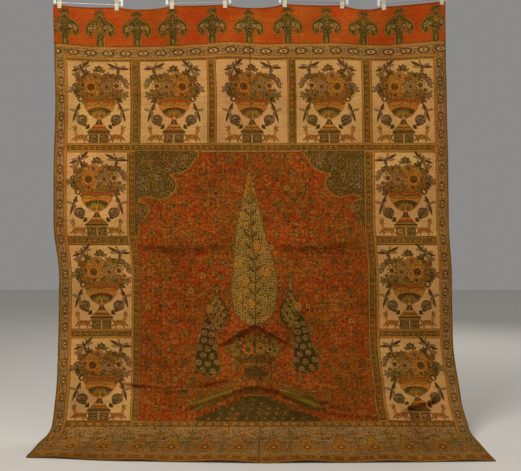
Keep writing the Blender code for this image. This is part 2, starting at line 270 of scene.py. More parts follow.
def rosette(radius, count=6, depth=0.3):
    def distance(x, y):
        lobe = 0.5 - 0.5 * np.cos(count * np.arctan2(x, y))
        return np.hypot(x, y) - radius * (1.0 - depth * lobe)
    return distance, radius


def ring(radius, thick):
    return lambda x, y: np.abs(np.hypot(x, y) - radius) - thick / 2, radius + thick


# A brushed line through points, narrowing to tip times its width
def stroke(points, width, tip=1.0):
    def distance(x, y):
        best = np.full(np.broadcast(x, y).shape, 1e9)
        for number, ((x0, y0), (x1, y1)) in enumerate(zip(points, points[1:])):
            dx, dy = x1 - x0, y1 - y0
            along = np.clip(((x - x0) * dx + (y - y0) * dy) / (dx * dx + dy * dy), 0.0, 1.0)
            thin = 1.0 + (tip - 1.0) * (number + along) / (len(points) - 1)
            best = np.minimum(best, np.hypot(x - x0 - along * dx, y - y0 - along * dy) - thin * width / 2)
        return best
    return distance, max(math.hypot(*point) for point in points) + width


# The inside of a closed run of straight edges
def outline(points):
    def distance(x, y):
        best = np.full(np.broadcast(x, y).shape, 1e9)
        inside = np.zeros(best.shape, bool)
        for (x0, y0), (x1, y1) in zip(points, points[1:] + points[:1]):
            dx, dy = x1 - x0, y1 - y0
            along = np.clip(((x - x0) * dx + (y - y0) * dy) / (dx * dx + dy * dy), 0.0, 1.0)
            best = np.minimum(best, np.hypot(x - x0 - along * dx, y - y0 - along * dy))
            if y0 != y1:
                inside ^= ((y0 > y) != (y1 > y)) & (x < x0 + (y - y0) * dx / dy)
        return np.where(inside, -best, best)
    return distance, max(math.hypot(*point) for point in points)


# A stretch of cloth to print on: its lines across and down, and a field for each dye
def newPage(runFrom, runTo, cell, ground):
    columns = 2 * round(cloth["halfWidth"] / cell)
    rows = round((runTo - runFrom) / cell)
    page = {"u": np.linspace(-1.0, 1.0, columns + 1), "v": np.linspace(runFrom, runTo, rows + 1)}
    shape = (rows + 1, columns + 1)
    page["dyes"] = {name: np.full(shape, -farOff if name == ground else farOff) for name in dyes}
    page["filler"], page["lace"] = np.zeros(shape), np.zeros(shape)
    return page


def place(u, v, size=1.0, turn=0.0, flip=1):
    return {"u": u, "v": v, "size": size, "turn": math.radians(turn), "flip": flip}


# Prints a shape at (x, y) of a motif that stands at a place, turned clockwise in degrees. Filler
# and lace are how strongly the two small all-over patterns show in it
def printShape(page, at, dye, shape, x=0.0, y=0.0, turn=0.0, grow=0.0, filler=0.0, lace=0.0):
    distance, reach = shape
    size, flip, spin = at["size"], at["flip"], at["turn"]
    sine, cosine = math.sin(spin), math.cos(spin)
    midU = at["u"] + size * (flip * x * cosine + y * sine) / 1000
    midV = at["v"] - size * (y * cosine - flip * x * sine) / 1000
    far = (reach + grow) * size / 1000 + 0.012
    columns = slice(*np.searchsorted(page["u"], (midU - far, midU + far)))
    rows = slice(*np.searchsorted(page["v"], (midV - far, midV + far)))
    dx = (page["u"][columns][None, :] - at["u"]) * 1000 / size
    dy = (at["v"] - page["v"][rows][:, None]) * 1000 / size
    awayX = flip * (dx * cosine - dy * sine) - x
    awayY = dx * sine + dy * cosine - y
    turned = math.radians(turn)
    away = distance(awayX * math.cos(turned) - awayY * math.sin(turned),
                    awayX * math.sin(turned) + awayY * math.cos(turned))
    away = (away - grow) * size
    for name, field in page["dyes"].items():
        window = field[rows, columns]
        if name == dye:
            np.minimum(window, away, out=window)
        else:
            np.maximum(window, -away, out=window)
    for name, strength in (("filler", filler), ("lace", lace)):
        page[name][rows, columns][away < 0] = strength


# A smooth closed run through points
def curved(points, steps=5):
    around = []
    count = len(points)
    for number in range(count):
        (ax, ay), (bx, by), (cx, cy), (dx, dy) = (points[(number + k) % count] for k in (-1, 0, 1, 2))
        for step in range(steps):
            t = step / steps
            w = (-0.5 * t + t * t - 0.5 * t ** 3, 1 - 2.5 * t * t + 1.5 * t ** 3,
                 0.5 * t + 2 * t * t - 1.5 * t ** 3, -0.5 * t * t + 0.5 * t ** 3)
            around.append((w[0] * ax + w[1] * bx + w[2] * cx + w[3] * dx,
                           w[0] * ay + w[1] * by + w[2] * cy + w[3] * dy))
    return outline(around)


# A run down one side and back up the other
def mirrored(half):
    return half + [(-x, y) for x, y in reversed(half) if abs(x) > 0.01]


def printFlower(page, at, x, y, radius, dye, heart="gold", count=6, turn=0.0):
    ink = partial(printShape, page, at)
    ink(dye, rosette(radius, count), x, y, turn, filler=0.35)
    ink(heart, disc(radius * 0.50), x, y, filler=0.35)
    if radius > 14:
        ink("brown", disc(radius * 0.24), x, y)


# Three leaves from one point, with lighter middles where asked
def printSpray(page, at, x, y, turn, dye, length=26.0, width=11.0, spread=38.0, middle=None):
    ink = partial(printShape, page, at)
    for lean in (-spread, spread, 0.0):
        ink(dye, blade(length, width), x, y, turn + lean)
        if middle:
            out = math.radians(turn + lean)
            ink(middle, blade(length * 0.66, width * 0.52), x + 0.2 * length * math.sin(out),
                y + 0.2 * length * math.cos(out), turn + lean)


spade = [(0, 146), (9, 138), (28, 122), (50, 110), (67, 95), (73, 76), (69, 58), (57, 47), (44, 50),
         (38, 59), (41, 67), (34, 73), (25, 67), (19, 54), (16, 30), (16, 2), (14, -14)]


# The spade-shaped tree of the top band: gold edge, dark body, a pale scroll in each lobe and a dark
# palmette above
def printTrefoil(page, u):
    at = place(u, cloth["bandDepth"] - 0.002)
    ink = partial(printShape, page, at)
    body = curved(mirrored(spade))
    for lean in (-80, 80, -48, 48, -18, 18):
        ink("olive", blade(30, 12), 0, 148, lean)
        ink("brown", blade(24, 5), 0, 150, lean)
    ink("gold", body, grow=6.0)
    ink("leaf", body, lace=0.32)
    ink("leaf", blade(60, 24), 0, 70, lace=0.6)
    for flip in (-1, 1):
        side = dict(at, flip=flip)
        inkSide = partial(printShape, page, side)
        inkSide("olive", disc(22, 14), 46, 84, 30, lace=0.8)
        inkSide("mauve", disc(14, 9), 28, 88, 20)
        inkSide("buff", disc(7, 3.5), 28, 91, 20)
        inkSide("gold", blade(24, 7), 58, 72, 168)
        inkSide("olive", blade(28, 9), 8, 114, 46)
        inkSide("madder", disc(5, 4), 46, 60)
    ink("olive", block(7, 13), 0, 18, lace=0.6)


treesAcross = (-0.943, -0.763, -0.575, -0.392, -0.191, -0.003, 0.195, 0.393, 0.581, 0.763, 0.951)


def printBand():
    page = newPage(0.0, cloth["bandDepth"] - cloth["seamGap"], cloth["bandCell"], "orange")
    for u in treesAcross:
        printTrefoil(page, u)
    printShape(page, place(0.0, cloth["bandDepth"]), "gold", block(1010, 4), 0, 0)
    return page


# A guard strip: a chain of eyes with a flower between each two
def printEyes(page, start, end, count, wide=22.0):
    turn = math.degrees(math.atan2(end[1] - start[1], end[0] - start[0]))
    for number in range(count):
        for half in (0.0, 0.5):
            share = (number + 0.25 + half) / count
            at = place(start[0] + (end[0] - start[0]) * share, start[1] + (end[1] - start[1]) * share,
                       wide / 22.0, turn)
            ink = partial(printShape, page, at)
            if half == 0.0:
                for dye, long, thick in (("buff", 78, 44), ("brown", 66, 34), ("buff", 46, 23),
                                         ("olive", 18, 10)):
                    ink(dye, blade(long, thick), -long / 2, 0, 90)
            else:
                ink("mauve", rosette(15, 4, 0.55), turn=45)
                ink("buff", rosette(9, 4, 0.4))
                ink("olive", disc(3.5))


# A strip between fine gold lines: olive, with a row of small gold lozenges
def printStrip(page, left, top, right, bottom):
    at = place((left + right) / 2, (top + bottom) / 2)
    ink = partial(printShape, page, at)
    wide, tall = (right - left) * 500, (bottom - top) * 500
    thick = min(wide, tall)
    ink("gold", block(wide, tall))
    ink("olive", block(wide - thick * 0.34, tall - thick * 0.34), lace=0.35, filler=0.9)
    step = 30.0
    count = int((max(wide, tall) - 10) * 2 / step)
    for number in range(count):
        away = (number - (count - 1) / 2) * step
        x, y = (away, 0.0) if wide > tall else (0.0, away)
        ink("gold", rosette(thick * 0.58, 4, 0.45), x, y, 45, filler=0.5)
        ink("brown", disc(thick * 0.20), x, y)


vaseFlowers = tableOf("x y radius dye heart count",
    (-17, 342, 28, "marigold", "mauve", 7), (-42, 288, 37, "marigold", "brown", 10),
    (-103, 327, 19, "madder", "gold", 6), (-84, 296, 16, "marigold", "leaf", 5),
    (-40, 246, 20, "marigold", "madder", 7), (38, 288, 35, "mauve", "gold", 9),
    (88, 294, 24, "buff", "madder", 7), (114, 268, 17, "buff", "mauve", 6),
    (104, 340, 17, "leaf", "buff", 6), (72, 246, 17, "mauve", "leaf", 6),
    (-120, 296, 14, "leaf", "mauve", 5), (10, 246, 16, "olive", "gold", 6), (0, 384, 17, "leaf", "buff", 5),
    (22, 330, 14, "gold", "madder", 5), (-76, 254, 13, "buff", "orange", 5))
vaseSprays = tableOf("x y turn dye",
    (0, 372, -36, "leaf"), (4, 368, 30, "olive"), (-62, 336, -30, "leaf"), (-70, 352, 12, "leaf"),
    (44, 336, 8, "olive"), (62, 326, 34, "leaf"), (84, 330, 20, "olive"), (112, 318, 62, "mauve"),
    (-110, 272, -96, "leaf"), (-98, 256, -128, "leaf"), (-126, 270, -60, "mauve"), (-78, 272, -30, "olive"),
    (-14, 262, -160, "leaf"), (26, 246, 150, "leaf"), (56, 238, 120, "olive"), (92, 248, 130, "leaf"),
    (120, 248, 110, "mauve"), (96, 228, 176, "leaf"), (-6, 310, 60, "olive"), (66, 306, -10, "leaf"),
    (-108, 342, -20, "mauve"), (126, 300, 84, "mauve"))


# A bird in flight: two spread wings, a tail and a mauve body
def printFlyingBird(page, at, x, y, turn):
    ink = partial(printShape, page, at)
    for lean, length, width, dye in ((-96, 58, 12, "brown"), (-74, 44, 10, "mauve"), (58, 62, 13, "brown"),
                                     (84, 48, 10, "mauve"), (172, 36, 9, "brown")):
        ink(dye, blade(length, width), x, y, turn + lean)
    ink("mauve", blade(46, 14), x - 10, y - 22, turn + 20)
    ink("brown", blade(30, 6), x - 6, y - 12, turn + 20)
    ink("brown", blade(18, 5), x + 6, y + 18, turn + 20)


# A long-tailed bird with raised wings, its double tail hanging
def printPerchedBird(page, at, x, y):
    ink = partial(printShape, page, at)
    ink("brown", blade(64, 10), x + 2, y + 2, 166)
    ink("mauve", blade(60, 10), x - 6, y - 2, 178)
    ink("brown", blade(46, 13), x, y - 4, -22)
    ink("mauve", blade(38, 11), x, y - 2, 76)
    ink("marigold", blade(22, 7), x - 4, y + 2, -56)
    ink("brown", disc(6.5), x - 4, y + 12)


# A small leaping deer that looks up and out
def printDeer(page, at, x, y):
    ink = partial(printShape, page, at)
    ink("marigold", disc(29, 11.5), x, y, 4)
    ink("marigold", stroke([(0, 0), (7, 16), (9, 30)], 11, 0.7), x + 18, y + 2)
    ink("marigold", disc(9, 5.5), x + 30, y + 34, -24)
    ink("marigold", stroke([(0, 0), (-3, 12), (4, 24)], 4.5, 0.7), x + 25, y + 36)
    ink("marigold", stroke([(0, 0), (8, 10), (18, 14)], 4.5, 0.7), x + 25, y + 38)
    for foot, lean in ((-24, 222), (-15, 198), (15, 156), (25, 124)):
        ink("marigold", blade(24, 6.5), x + foot, y - 4, lean)
    ink("marigold", blade(15, 6), x - 27, y + 4, -50)
    ink("gold", disc(17, 4.5), x, y + 1, 4)


# A dark coiled fruit: rings inside one another
def printRoundel(page, at, x, y, radius=25.0):
    ink = partial(printShape, page, at)
    ink("brown", disc(radius), x, y)
    ink("mauve", ring(radius * 0.72, radius * 0.2), x, y)
    ink("leaf", disc(radius * 0.56), x - 1, y - 1)
    ink("buff", ring(radius * 0.34, radius * 0.16), x, y + 1)
    ink("brown", disc(radius * 0.18), x, y)


# A footed vase of flowers on a plinth, with birds, coiled fruit and deer around it
def printVase(page, u, bottom, size=1.0, flip=1):
    at = place(u, bottom, size, 0.0, flip)
    ink = partial(printShape, page, at)
    for x in (-26.5, 26.5):
        ink("olive", block(22.5, 21), x, 23)
        ink("brown", block(17, 15), x, 23, lace=0.7)
    ink("gold", block(54, 3.5), 0, 49)
    ink("leaf", block(58, 3.5), 0, 57)
    ink("gold", block(50, 3), 0, 65)
    ink("marigold", outline([(-45, 69), (45, 69), (20, 95), (-20, 95)]), filler=0.3)
    ink("orange", block(34, 2.6), 0, 78)
    ink("brown", outline([(-19, 96), (19, 96), (6, 122), (-6, 122)]))
    ink("mauve", blade(20, 9), 0, 97)
    for side in (-1, 1):
        half = dict(at, flip=flip * side)
        printSpray(page, half, 50, 76, 52, "leaf", 22, 8)
        printSpray(page, half, 66, 92, 60, "leaf", 20, 8)
        printRoundel(page, half, 86, 118, 26)
        printPerchedBird(page, half, 116, 166)
        printDeer(page, half, 92, 30)
    dice = random.Random(4)
    for number in range(34):
        lean, reach = dice.uniform(-1.45, 1.45), dice.uniform(40, 108)
        x, y = reach * math.sin(lean) * 1.05, 246 + reach * math.cos(lean) * 1.05
        dye, middle = dice.choice(("leaf", "brown", "olive")), dice.choice(("mauve", "gold", "olive", "buff"))
        printSpray(page, at, x, y, math.degrees(lean) * 1.2, dye, 25, 11, 46, middle)
    for spec in vaseSprays:
        printSpray(page, at, spec["x"], spec["y"], spec["turn"], spec["dye"], 32, 13.5, 44,
                   "olive" if spec["dye"] == "leaf" else "buff" if spec["dye"] == "mauve" else "gold")
    ink("olive", disc(112, 42), 4, 258, filler=1.0)
    ink("gold", rosette(66, 9, 0.15), -24, 298, filler=1.0, lace=0.3)
    ink("olive", rosette(48, 8, 0.2), 46, 298, filler=1.0, lace=0.4)
    bowl = mirrored([(80, 216), (79, 200), (74, 182), (63, 163), (45, 146), (20, 130), (0, 125)])
    ink("marigold", curved(bowl), filler=0.4)
    ink("gold", curved(mirrored([(74, 204), (70, 196), (30, 192), (0, 194), (0, 204)])), filler=0.5)
    ink("leaf", curved(mirrored([(0, 182), (32, 178), (58, 164), (42, 148), (16, 130)])), lace=0.2)
    for number, lean in enumerate((-62, 62, -48, 48, -34, 34, -21, 21, -8, 8)):
        ink("gold" if number % 4 < 2 else "quince", blade(64, 8.5), 0, 121, lean)
    ink("marigold", disc(12, 9), 0, 127)
    for spec in vaseFlowers:
        printFlower(page, at, spec["x"], spec["y"], spec["radius"], spec["dye"], spec["heart"],
                    spec["count"])
    ink("orange", stroke([(-84, 224), (-58, 214), (0, 217), (50, 212), (84, 222)], 10))
    ink("gold", stroke([(-76, 213), (-50, 206), (0, 208), (44, 204), (76, 211)], 5))
    ink("brown", ring(13, 5.5), -96, 226)
    printFlyingBird(page, at, -86, 388, -14)
    printFlyingBird(page, dict(at, flip=-flip), -98, 386, 4)


# The layout of the print, in metres across and down the cloth
layout = {
    "panelTops": (0.270, 0.742, 1.213, 1.686),
    "panelDepth": 0.426,
    "topPanels": ((-0.936, -0.615), (-0.564, -0.222), (-0.176, 0.188), (0.231, 0.568), (0.619, 0.938)),
    "leftColumn": (-0.936, -0.628),
    "rightColumn": (0.628, 0.938),
    "field": {"left": -0.586, "right": 0.573, "top": 0.742, "bottom": 2.116},
    "guardAcross": 0.968,
    "guardTop": 0.223,
    "borderTop": 2.148,
    "lowStripTop": 2.515,
    "hemTop": 2.592,
    "footFlowers": {"left": 0.0897, "right": 0.0655, "step": 0.1515, "run": 2.410},
}


def printPanel(page, left, right, top, flip=1):
    depth = layout["panelDepth"]
    at = place((left + right) / 2, top + depth / 2)
    ink = partial(printShape, page, at)
    ink("gold", block((right - left) * 500 + 6, depth * 500 + 6))
    ink("buff", block((right - left) * 500, depth * 500))
    printVase(page, (left + right) / 2, top + depth - 0.001, 1.0, flip)


def printPanels(page):
    tops = layout["panelTops"]
    for number, (left, right) in enumerate(layout["topPanels"]):
        printPanel(page, left, right, tops[0], -1 if number in (1, 3) else 1)
    for top in tops[1:]:
        printPanel(page, *layout["leftColumn"], top)
        printPanel(page, *layout["rightColumn"], top, -1)


def printFieldSides(page):
    top, field = layout["panelTops"][1] - 0.006, layout["field"]
    printStrip(page, layout["leftColumn"][1] + 0.006, top, field["left"] - 0.002, field["bottom"])
    printStrip(page, field["right"] + 0.002, top, layout["rightColumn"][0] - 0.006, field["bottom"])


def printStrips(page):
    tops, depth = layout["panelTops"], layout["panelDepth"]
    panels = layout["topPanels"]
    for (_, left), (right, _) in zip(panels, panels[1:]):
        printStrip(page, left + 0.005, tops[0] - 0.004, right - 0.005, tops[0] + depth)
    (left, inLeft), (inRight, right) = layout["leftColumn"], layout["rightColumn"]
    printStrip(page, left, tops[0] + depth + 0.004, right, tops[1] - 0.006)
    for top in tops[2:]:
        printStrip(page, left, top - 0.040, inLeft, top - 0.006)
        printStrip(page, inRight, top - 0.040, right, top - 0.006)


# The mottled guard strips with their eyes, and the gold lines inside them
def printGuards(page):
    printShape(page, place(0.0, 0.225), "mauve", block(1010, 38), lace=0.9, filler=0.35)
    across = layout["guardAcross"]
    for u in (-across, across):
        printShape(page, place(u, 1.36), "mauve", block(34, 1155), lace=0.9, filler=0.35)
    printShape(page, place(0.0, 0.194), "gold", block(1010, 6))
    printShape(page, place(0.0, 0.253), "gold", block(960, 7))
    printShape(page, place(0.0, 0.261), "buff", block(944, 2))
    for flip in (-1, 1):
        printShape(page, place(0.944 * flip, 1.36), "gold", block(7, 1155), filler=0.4)
        printShape(page, place(0.993 * flip, 1.36), "gold", block(8, 1170), filler=0.5, lace=0.3)
    printEyes(page, (-1.016, layout["guardTop"]), (1.043, layout["guardTop"]), 23)
    for u in (-across, across):
        printEyes(page, (u, 0.27), (u, 2.50), 25, 16.5)


# Their outlines from the field's own corner: a large lobed piece and a small hanging one
cornerPieces = (
    [(0, 6), (318, 6), (308, -52), (284, -88), (238, -110), (184, -124), (212, -152), (216, -196),
     (186, -236), (138, -252), (96, -244), (52, -238), (18, -256), (-4, -284), (-4, -140)],
    [(-4, -290), (40, -282), (66, -304), (60, -338), (32, -364), (14, -392), (14, -430), (-4, -450)],
)
cornerScrolls = tableOf("x y radius",
    (262, -46, 30), (150, -186, 50), (176, -66, 34), (96, -96, 34), (44, -170, 30), (40, -318, 14))


# The dark corners over the field: a scalloped gold edge, scrolls, and greyed flowers
def printCorners(page):
    field = layout["field"]
    dice = random.Random(3)
    for flip, edge, size in ((1, field["left"], 0.93), (-1, field["right"], 0.88)):
        at = place(edge, field["top"], size, 0.0, flip)
        ink = partial(printShape, page, at)
        for dye, grow in (("orange", 20.0), ("gold", 9.0), ("leaf", 0.0)):
            for piece in cornerPieces:
                ink(dye, curved(piece), grow=grow, filler=0.25 if grow < 10 else 0.8,
                    lace=0.0 if grow else 0.4)
        for scroll in cornerScrolls:
            ink("olive", ring(scroll["radius"] * 1.15, 6), scroll["x"], scroll["y"])
            ink("olive", ring(scroll["radius"] * 0.72, 5), scroll["x"], scroll["y"])
            for number in range(7):
                turn = math.radians(51 * number + dice.uniform(0, 20))
                x = scroll["x"] + 0.94 * scroll["radius"] * math.cos(turn)
                y = scroll["y"] + 0.94 * scroll["radius"] * math.sin(turn)
                ink(dice.choice(("mauve", "olive", "quince")), rosette(15, 5), x, y)
                ink("leaf", disc(6), x, y)
            ink(dice.choice(("mauve", "gold")), rosette(15, 6), scroll["x"], scroll["y"])
            ink("leaf", disc(6), scroll["x"], scroll["y"])
        for number in range(9):
            ink("mauve", rosette(14, 5), 18, -16 - number * 27)
            ink("leaf", disc(5.5), 18, -16 - number * 27)
        for x, y in ((60, -20), (104, -24), (150, -18), (204, -22), (232, -70), (60, -60), (120, -140),
                     (72, -130), (66, -214), (112, -224), (30, -346), (16, -380), (290, -24), (206, -100)):
            ink(dice.choice(("mauve", "olive", "olive")), rosette(13, 5), x, y)
            ink("leaf", disc(4.5), x, y)
            printSpray(page, at, x + 14, y - 8, dice.uniform(0, 360), "olive", 17, 7)


# Half the tree's width in millimetres at a share of the way down it
def cypressHalf(down):
    shares = (0.0, 0.08, 0.2, 0.4, 0.6, 0.75, 0.86, 0.94, 0.98, 1.0)
    halves = (6.0, 14.0, 36.0, 68.0, 98.0, 116.0, 112.0, 84.0, 48.0, 0.0)
    return float(np.interp(down, shares, halves))


# The tall tree: a faint gold tip, then a pale edge round a network of sprigs with soft gold
# clusters
def printCypress(page):
    top, bottom = 0.800, 1.622
    at = place(-0.006, bottom)
    ink = partial(printShape, page, at)
    tall = (bottom - top) * 1000
    right = [(cypressHalf(share), tall * (1.0 - share)) for share in np.linspace(0.0, 1.0, 15)]
    ink("gold", curved(mirrored(right), 3), filler=1.0)
    lower = [(cypressHalf(share) * smooth((share - 0.17) / 0.12), tall * (1.0 - share))
             for share in np.linspace(0.18, 1.0, 15)]
    edge = curved(mirrored(lower), 3)
    ink("buff", edge, grow=4.0)
    ink("olive", edge, lace=1.0)
    for number in range(11):
        for lean in (46, -46):
            ink("leaf", blade(46, 13), 0, tall * (0.05 + 0.07 * number), lean, lace=0.7)
    for x, y, wide, high in ((58, 268, 30, 40), (-58, 226, 34, 34), (-24, 110, 36, 28), (26, 410, 22, 30),
                             (-20, 510, 15, 24)):
        ink("gold", disc(wide, high), x, y, lace=0.85, filler=0.5)


peacockTail = [(-34, -10), (-14, -50), (-8, -110), (-2, -170), (8, -230), (12, -270), (0, -292),
               (-30, -302), (-62, -300), (-92, -290), (-108, -268), (-106, -220), (-90, -165), (-76, -110),
               (-62, -50)]
peacockBody = [(16, 136), (18, 104), (24, 72), (44, 46), (60, 6), (54, -34), (30, -74), (6, -84), (-8, -60),
               (-32, -28), (-44, 10), (-34, 40), (-10, 66), (0, 100), (2, 136)]


# A peacock seen from the side: a laced body and neck, a gold shoulder, and a long dark tail of
# ringed eyes that hangs below it and ends in scallops
def printPeacock(page, u, v, flip, neck, lean):
    at = place(u, v, 1.0, 0.0, flip)
    ink = partial(printShape, page, at)
    tail = [(x + lean * y / 300, y) for x, y in peacockTail]
    low = lean * -290 / 300
    for x, y in ((-94, -284), (-66, -298), (-34, -302), (-4, -292)):
        ink("brown", disc(15), x + low, y, grow=3)
        ink("leaf", disc(13), x + low, y)
    ink("gold", curved(tail), grow=4)
    ink("leaf", curved(tail))
    body = curved([(x, y if y < 70 else 70 + (y - 70) * neck) for x, y in peacockBody])
    head = 70 + 74 * neck
    ink("brown", body, grow=5)
    ink("olive", body, lace=0.65)
    for x, y in ((8, 96), (16, 70), (2, 44), (30, 44), (-14, 22), (14, 20), (42, 12), (-4, -8), (26, -12),
                 (42, -30), (10, -40), (24, -62)):
        ink("leaf", blade(24, 8), x - 4, y - 8, 28)
    ink("leaf", stroke([(46, 44), (61, 6), (54, -34), (28, -76)], 8, 0.6))
    ink("olive", disc(10, 12), 8, head, lace=0.6)
    ink("gold", blade(18, 7), 14, head, 84)
    for x, turn in ((2, -26), (6, -4), (10, 18)):
        ink("olive", blade(24, 6), x, head + 8, turn)
    ink("gold", disc(20, 24), -30, 22, 24, lace=0.3, filler=0.4)
    ink("brown", disc(17, 14), -22, -16, lace=0.4)
    for row in range(7):
        y = -62 - 37 * row
        middle = -38 - 0.05 * (row * 37) + lean * y / 300
        count = 3 if row % 2 and row > 1 else 2
        for number in range(count):
            x = middle + (number - (count - 1) / 2) * (30 + 3.2 * row)
            high = y - 8 * (number % 2)
            ink("quince" if number % 2 else "mauve", disc(14.5), x, high)
            ink("gold" if (row + number) % 3 == 0 else "buff", ring(10.5, 4.5), x, high)
            ink("brown", disc(8), x, high)
            ink("buff", disc(4.2), x, high)


# The dark mound under the tree, with ribbed leaves over its shoulders
def printMound(page):
    at = place(-0.010, layout["field"]["bottom"])
    ink = partial(printShape, page, at)
    hill = [(-300, 0), (312, 0), (280, 20), (196, 54), (116, 92), (64, 124), (44, 140), (-44, 140),
            (-64, 120), (-112, 88), (-190, 54), (-268, 22)]
    ink("orange", outline([(x * 1.05, y + 20 if y else 0) for x, y in hill]), filler=0.6)
    ink("leaf", outline(hill), lace=0.05)
    for y in (139, 150, 161):
        ink("quince" if y == 150 else "buff", block(56 - (y - 139) * 0.6, 2.0), 0, y)
    dice = random.Random(5)
    for row, wide in ((16, 240), (44, 180), (70, 120), (96, 64), (116, 20)):
        for x in np.arange(-wide, wide + 1, 46.0):
            where = x + dice.uniform(-6, 6)
            ink("leaf", rosette(22, 7, 0.3), where, row, lace=0.25)
            ink("olive", disc(dice.uniform(6, 10)), where, row)
    for flip in (-1, 1):
        side = dict(at, flip=flip)
        inkSide = partial(printShape, page, side)
        for step in range(8):
            inkSide("leaf", rosette(16, 5, 0.35), 286 - 31 * step, 14 + 15.5 * step, 20 * step, lace=0.2)
        comb = [(122, 182), (170, 168), (236, 142), (296, 108), (312, 86), (294, 58), (226, 88), (160, 120),
                (122, 142)]
        inkSide("olive", curved(comb), filler=0.3)
        for step in range(16):
            share = step / 15.0
            inkSide("quince", blade(52 + 20 * share, 8.5), 128 + 168 * share, 126 - 78 * share ** 1.1, -16)
        for step in range(6):
            printSpray(page, side, 120 + step * 34, 204 - step * 15, 20, "olive", 20, 8)


# The bowl of flowers that stands between the tree and the mound
def printCentre(page):
    at = place(-0.005, 1.87)
    ink = partial(printShape, page, at)
    ink("leaf", disc(112, 72), 0, 140, filler=0.9, lace=0.15)
    for x, y in ((-100, 176), (-112, 138), (-92, 104), (100, 176), (112, 138), (92, 104)):
        ink("olive", rosette(22, 6, 0.3), x, y, lace=0.3, filler=0.5)
    ink("brown", curved(mirrored([(96, 92), (80, 60), (34, 34), (0, 28)])), filler=0.9)
    ink("quince", block(84, 3), 0, 80, filler=0.3)
    ink("gold", block(74, 2.5), 0, 66, filler=0.6)
    ink("olive", curved(mirrored([(62, 60), (50, 44), (22, 34), (0, 32)])), lace=0.2, filler=0.9)
    ink("leaf", disc(60, 34), 0, 10, lace=0.1, filler=0.5)
    ink("brown", disc(36, 18), 6, 12)
    flowers = ((-34, 128, 33, "marigold", "olive"), (30, 134, 32, "quince", "marigold"),
               (76, 128, 20, "buff", "olive"), (-86, 124, 18, "olive", "buff"),
               (-22, 172, 20, "quince", "orange"), (60, 174, 15, "olive", "buff"),
               (0, 104, 13, "madder", "gold"), (-72, 160, 14, "mauve", "gold"),
               (16, 182, 12, "olive", "gold"), (-60, 92, 12, "gold", "madder"),
               (62, 96, 12, "gold", "madder"))
    for x, y, radius, dye, heart in flowers:
        printFlower(page, at, x, y, radius, dye, heart, 8)
    for flip in (-1, 1):
        for x, y, turn in ((96, 150, 70), (104, 110, 100), (88, 60, 120), (76, 24, 80), (50, -16, 110)):
            printSpray(page, dict(at, flip=flip), x, y, turn, "olive", 26, 9)


def printField(page):
    field = layout["field"]
    at = place((field["left"] + field["right"]) / 2, (field["top"] + field["bottom"]) / 2)
    ink = partial(printShape, page, at)
    wide, tall = (field["right"] - field["left"]) * 500, (field["bottom"] - field["top"]) * 500
    ink("madder", block(wide, tall), filler=1.0)
    dice = random.Random(11)
    for row, v in enumerate(np.arange(field["top"] + 0.04, field["bottom"] - 0.02, 0.074)):
        for u in np.arange(field["left"] + 0.04 + 0.045 * (row % 2), field["right"] - 0.02, 0.090):
            spot = place(u + dice.uniform(-0.010, 0.010), v + dice.uniform(-0.008, 0.008),
                         dice.uniform(0.85, 1.15))
            inkSpot = partial(printShape, page, spot)
            kind = dice.choice(("orange", "gold", "orange", "olive"))
            for number in range(3):
                turn = dice.uniform(0, 360)
                inkSpot(dice.choice(("olive", "gold", "leaf")), blade(30, 9), 0, 0, turn, filler=0.5)
            inkSpot(kind, rosette(17, 6), filler=0.45)
            inkSpot(dice.choice(("madder", "olive", "gold")), disc(8), filler=0.3)
            inkSpot("buff" if kind == "olive" else "brown", disc(3.5))
    printCorners(page)
    printCypress(page)
    printPeacock(page, -0.204, 1.560, 1, 0.75, -7)
    printPeacock(page, 0.186, 1.548, -1, 1.15, 17)
    printCentre(page)
    printMound(page)


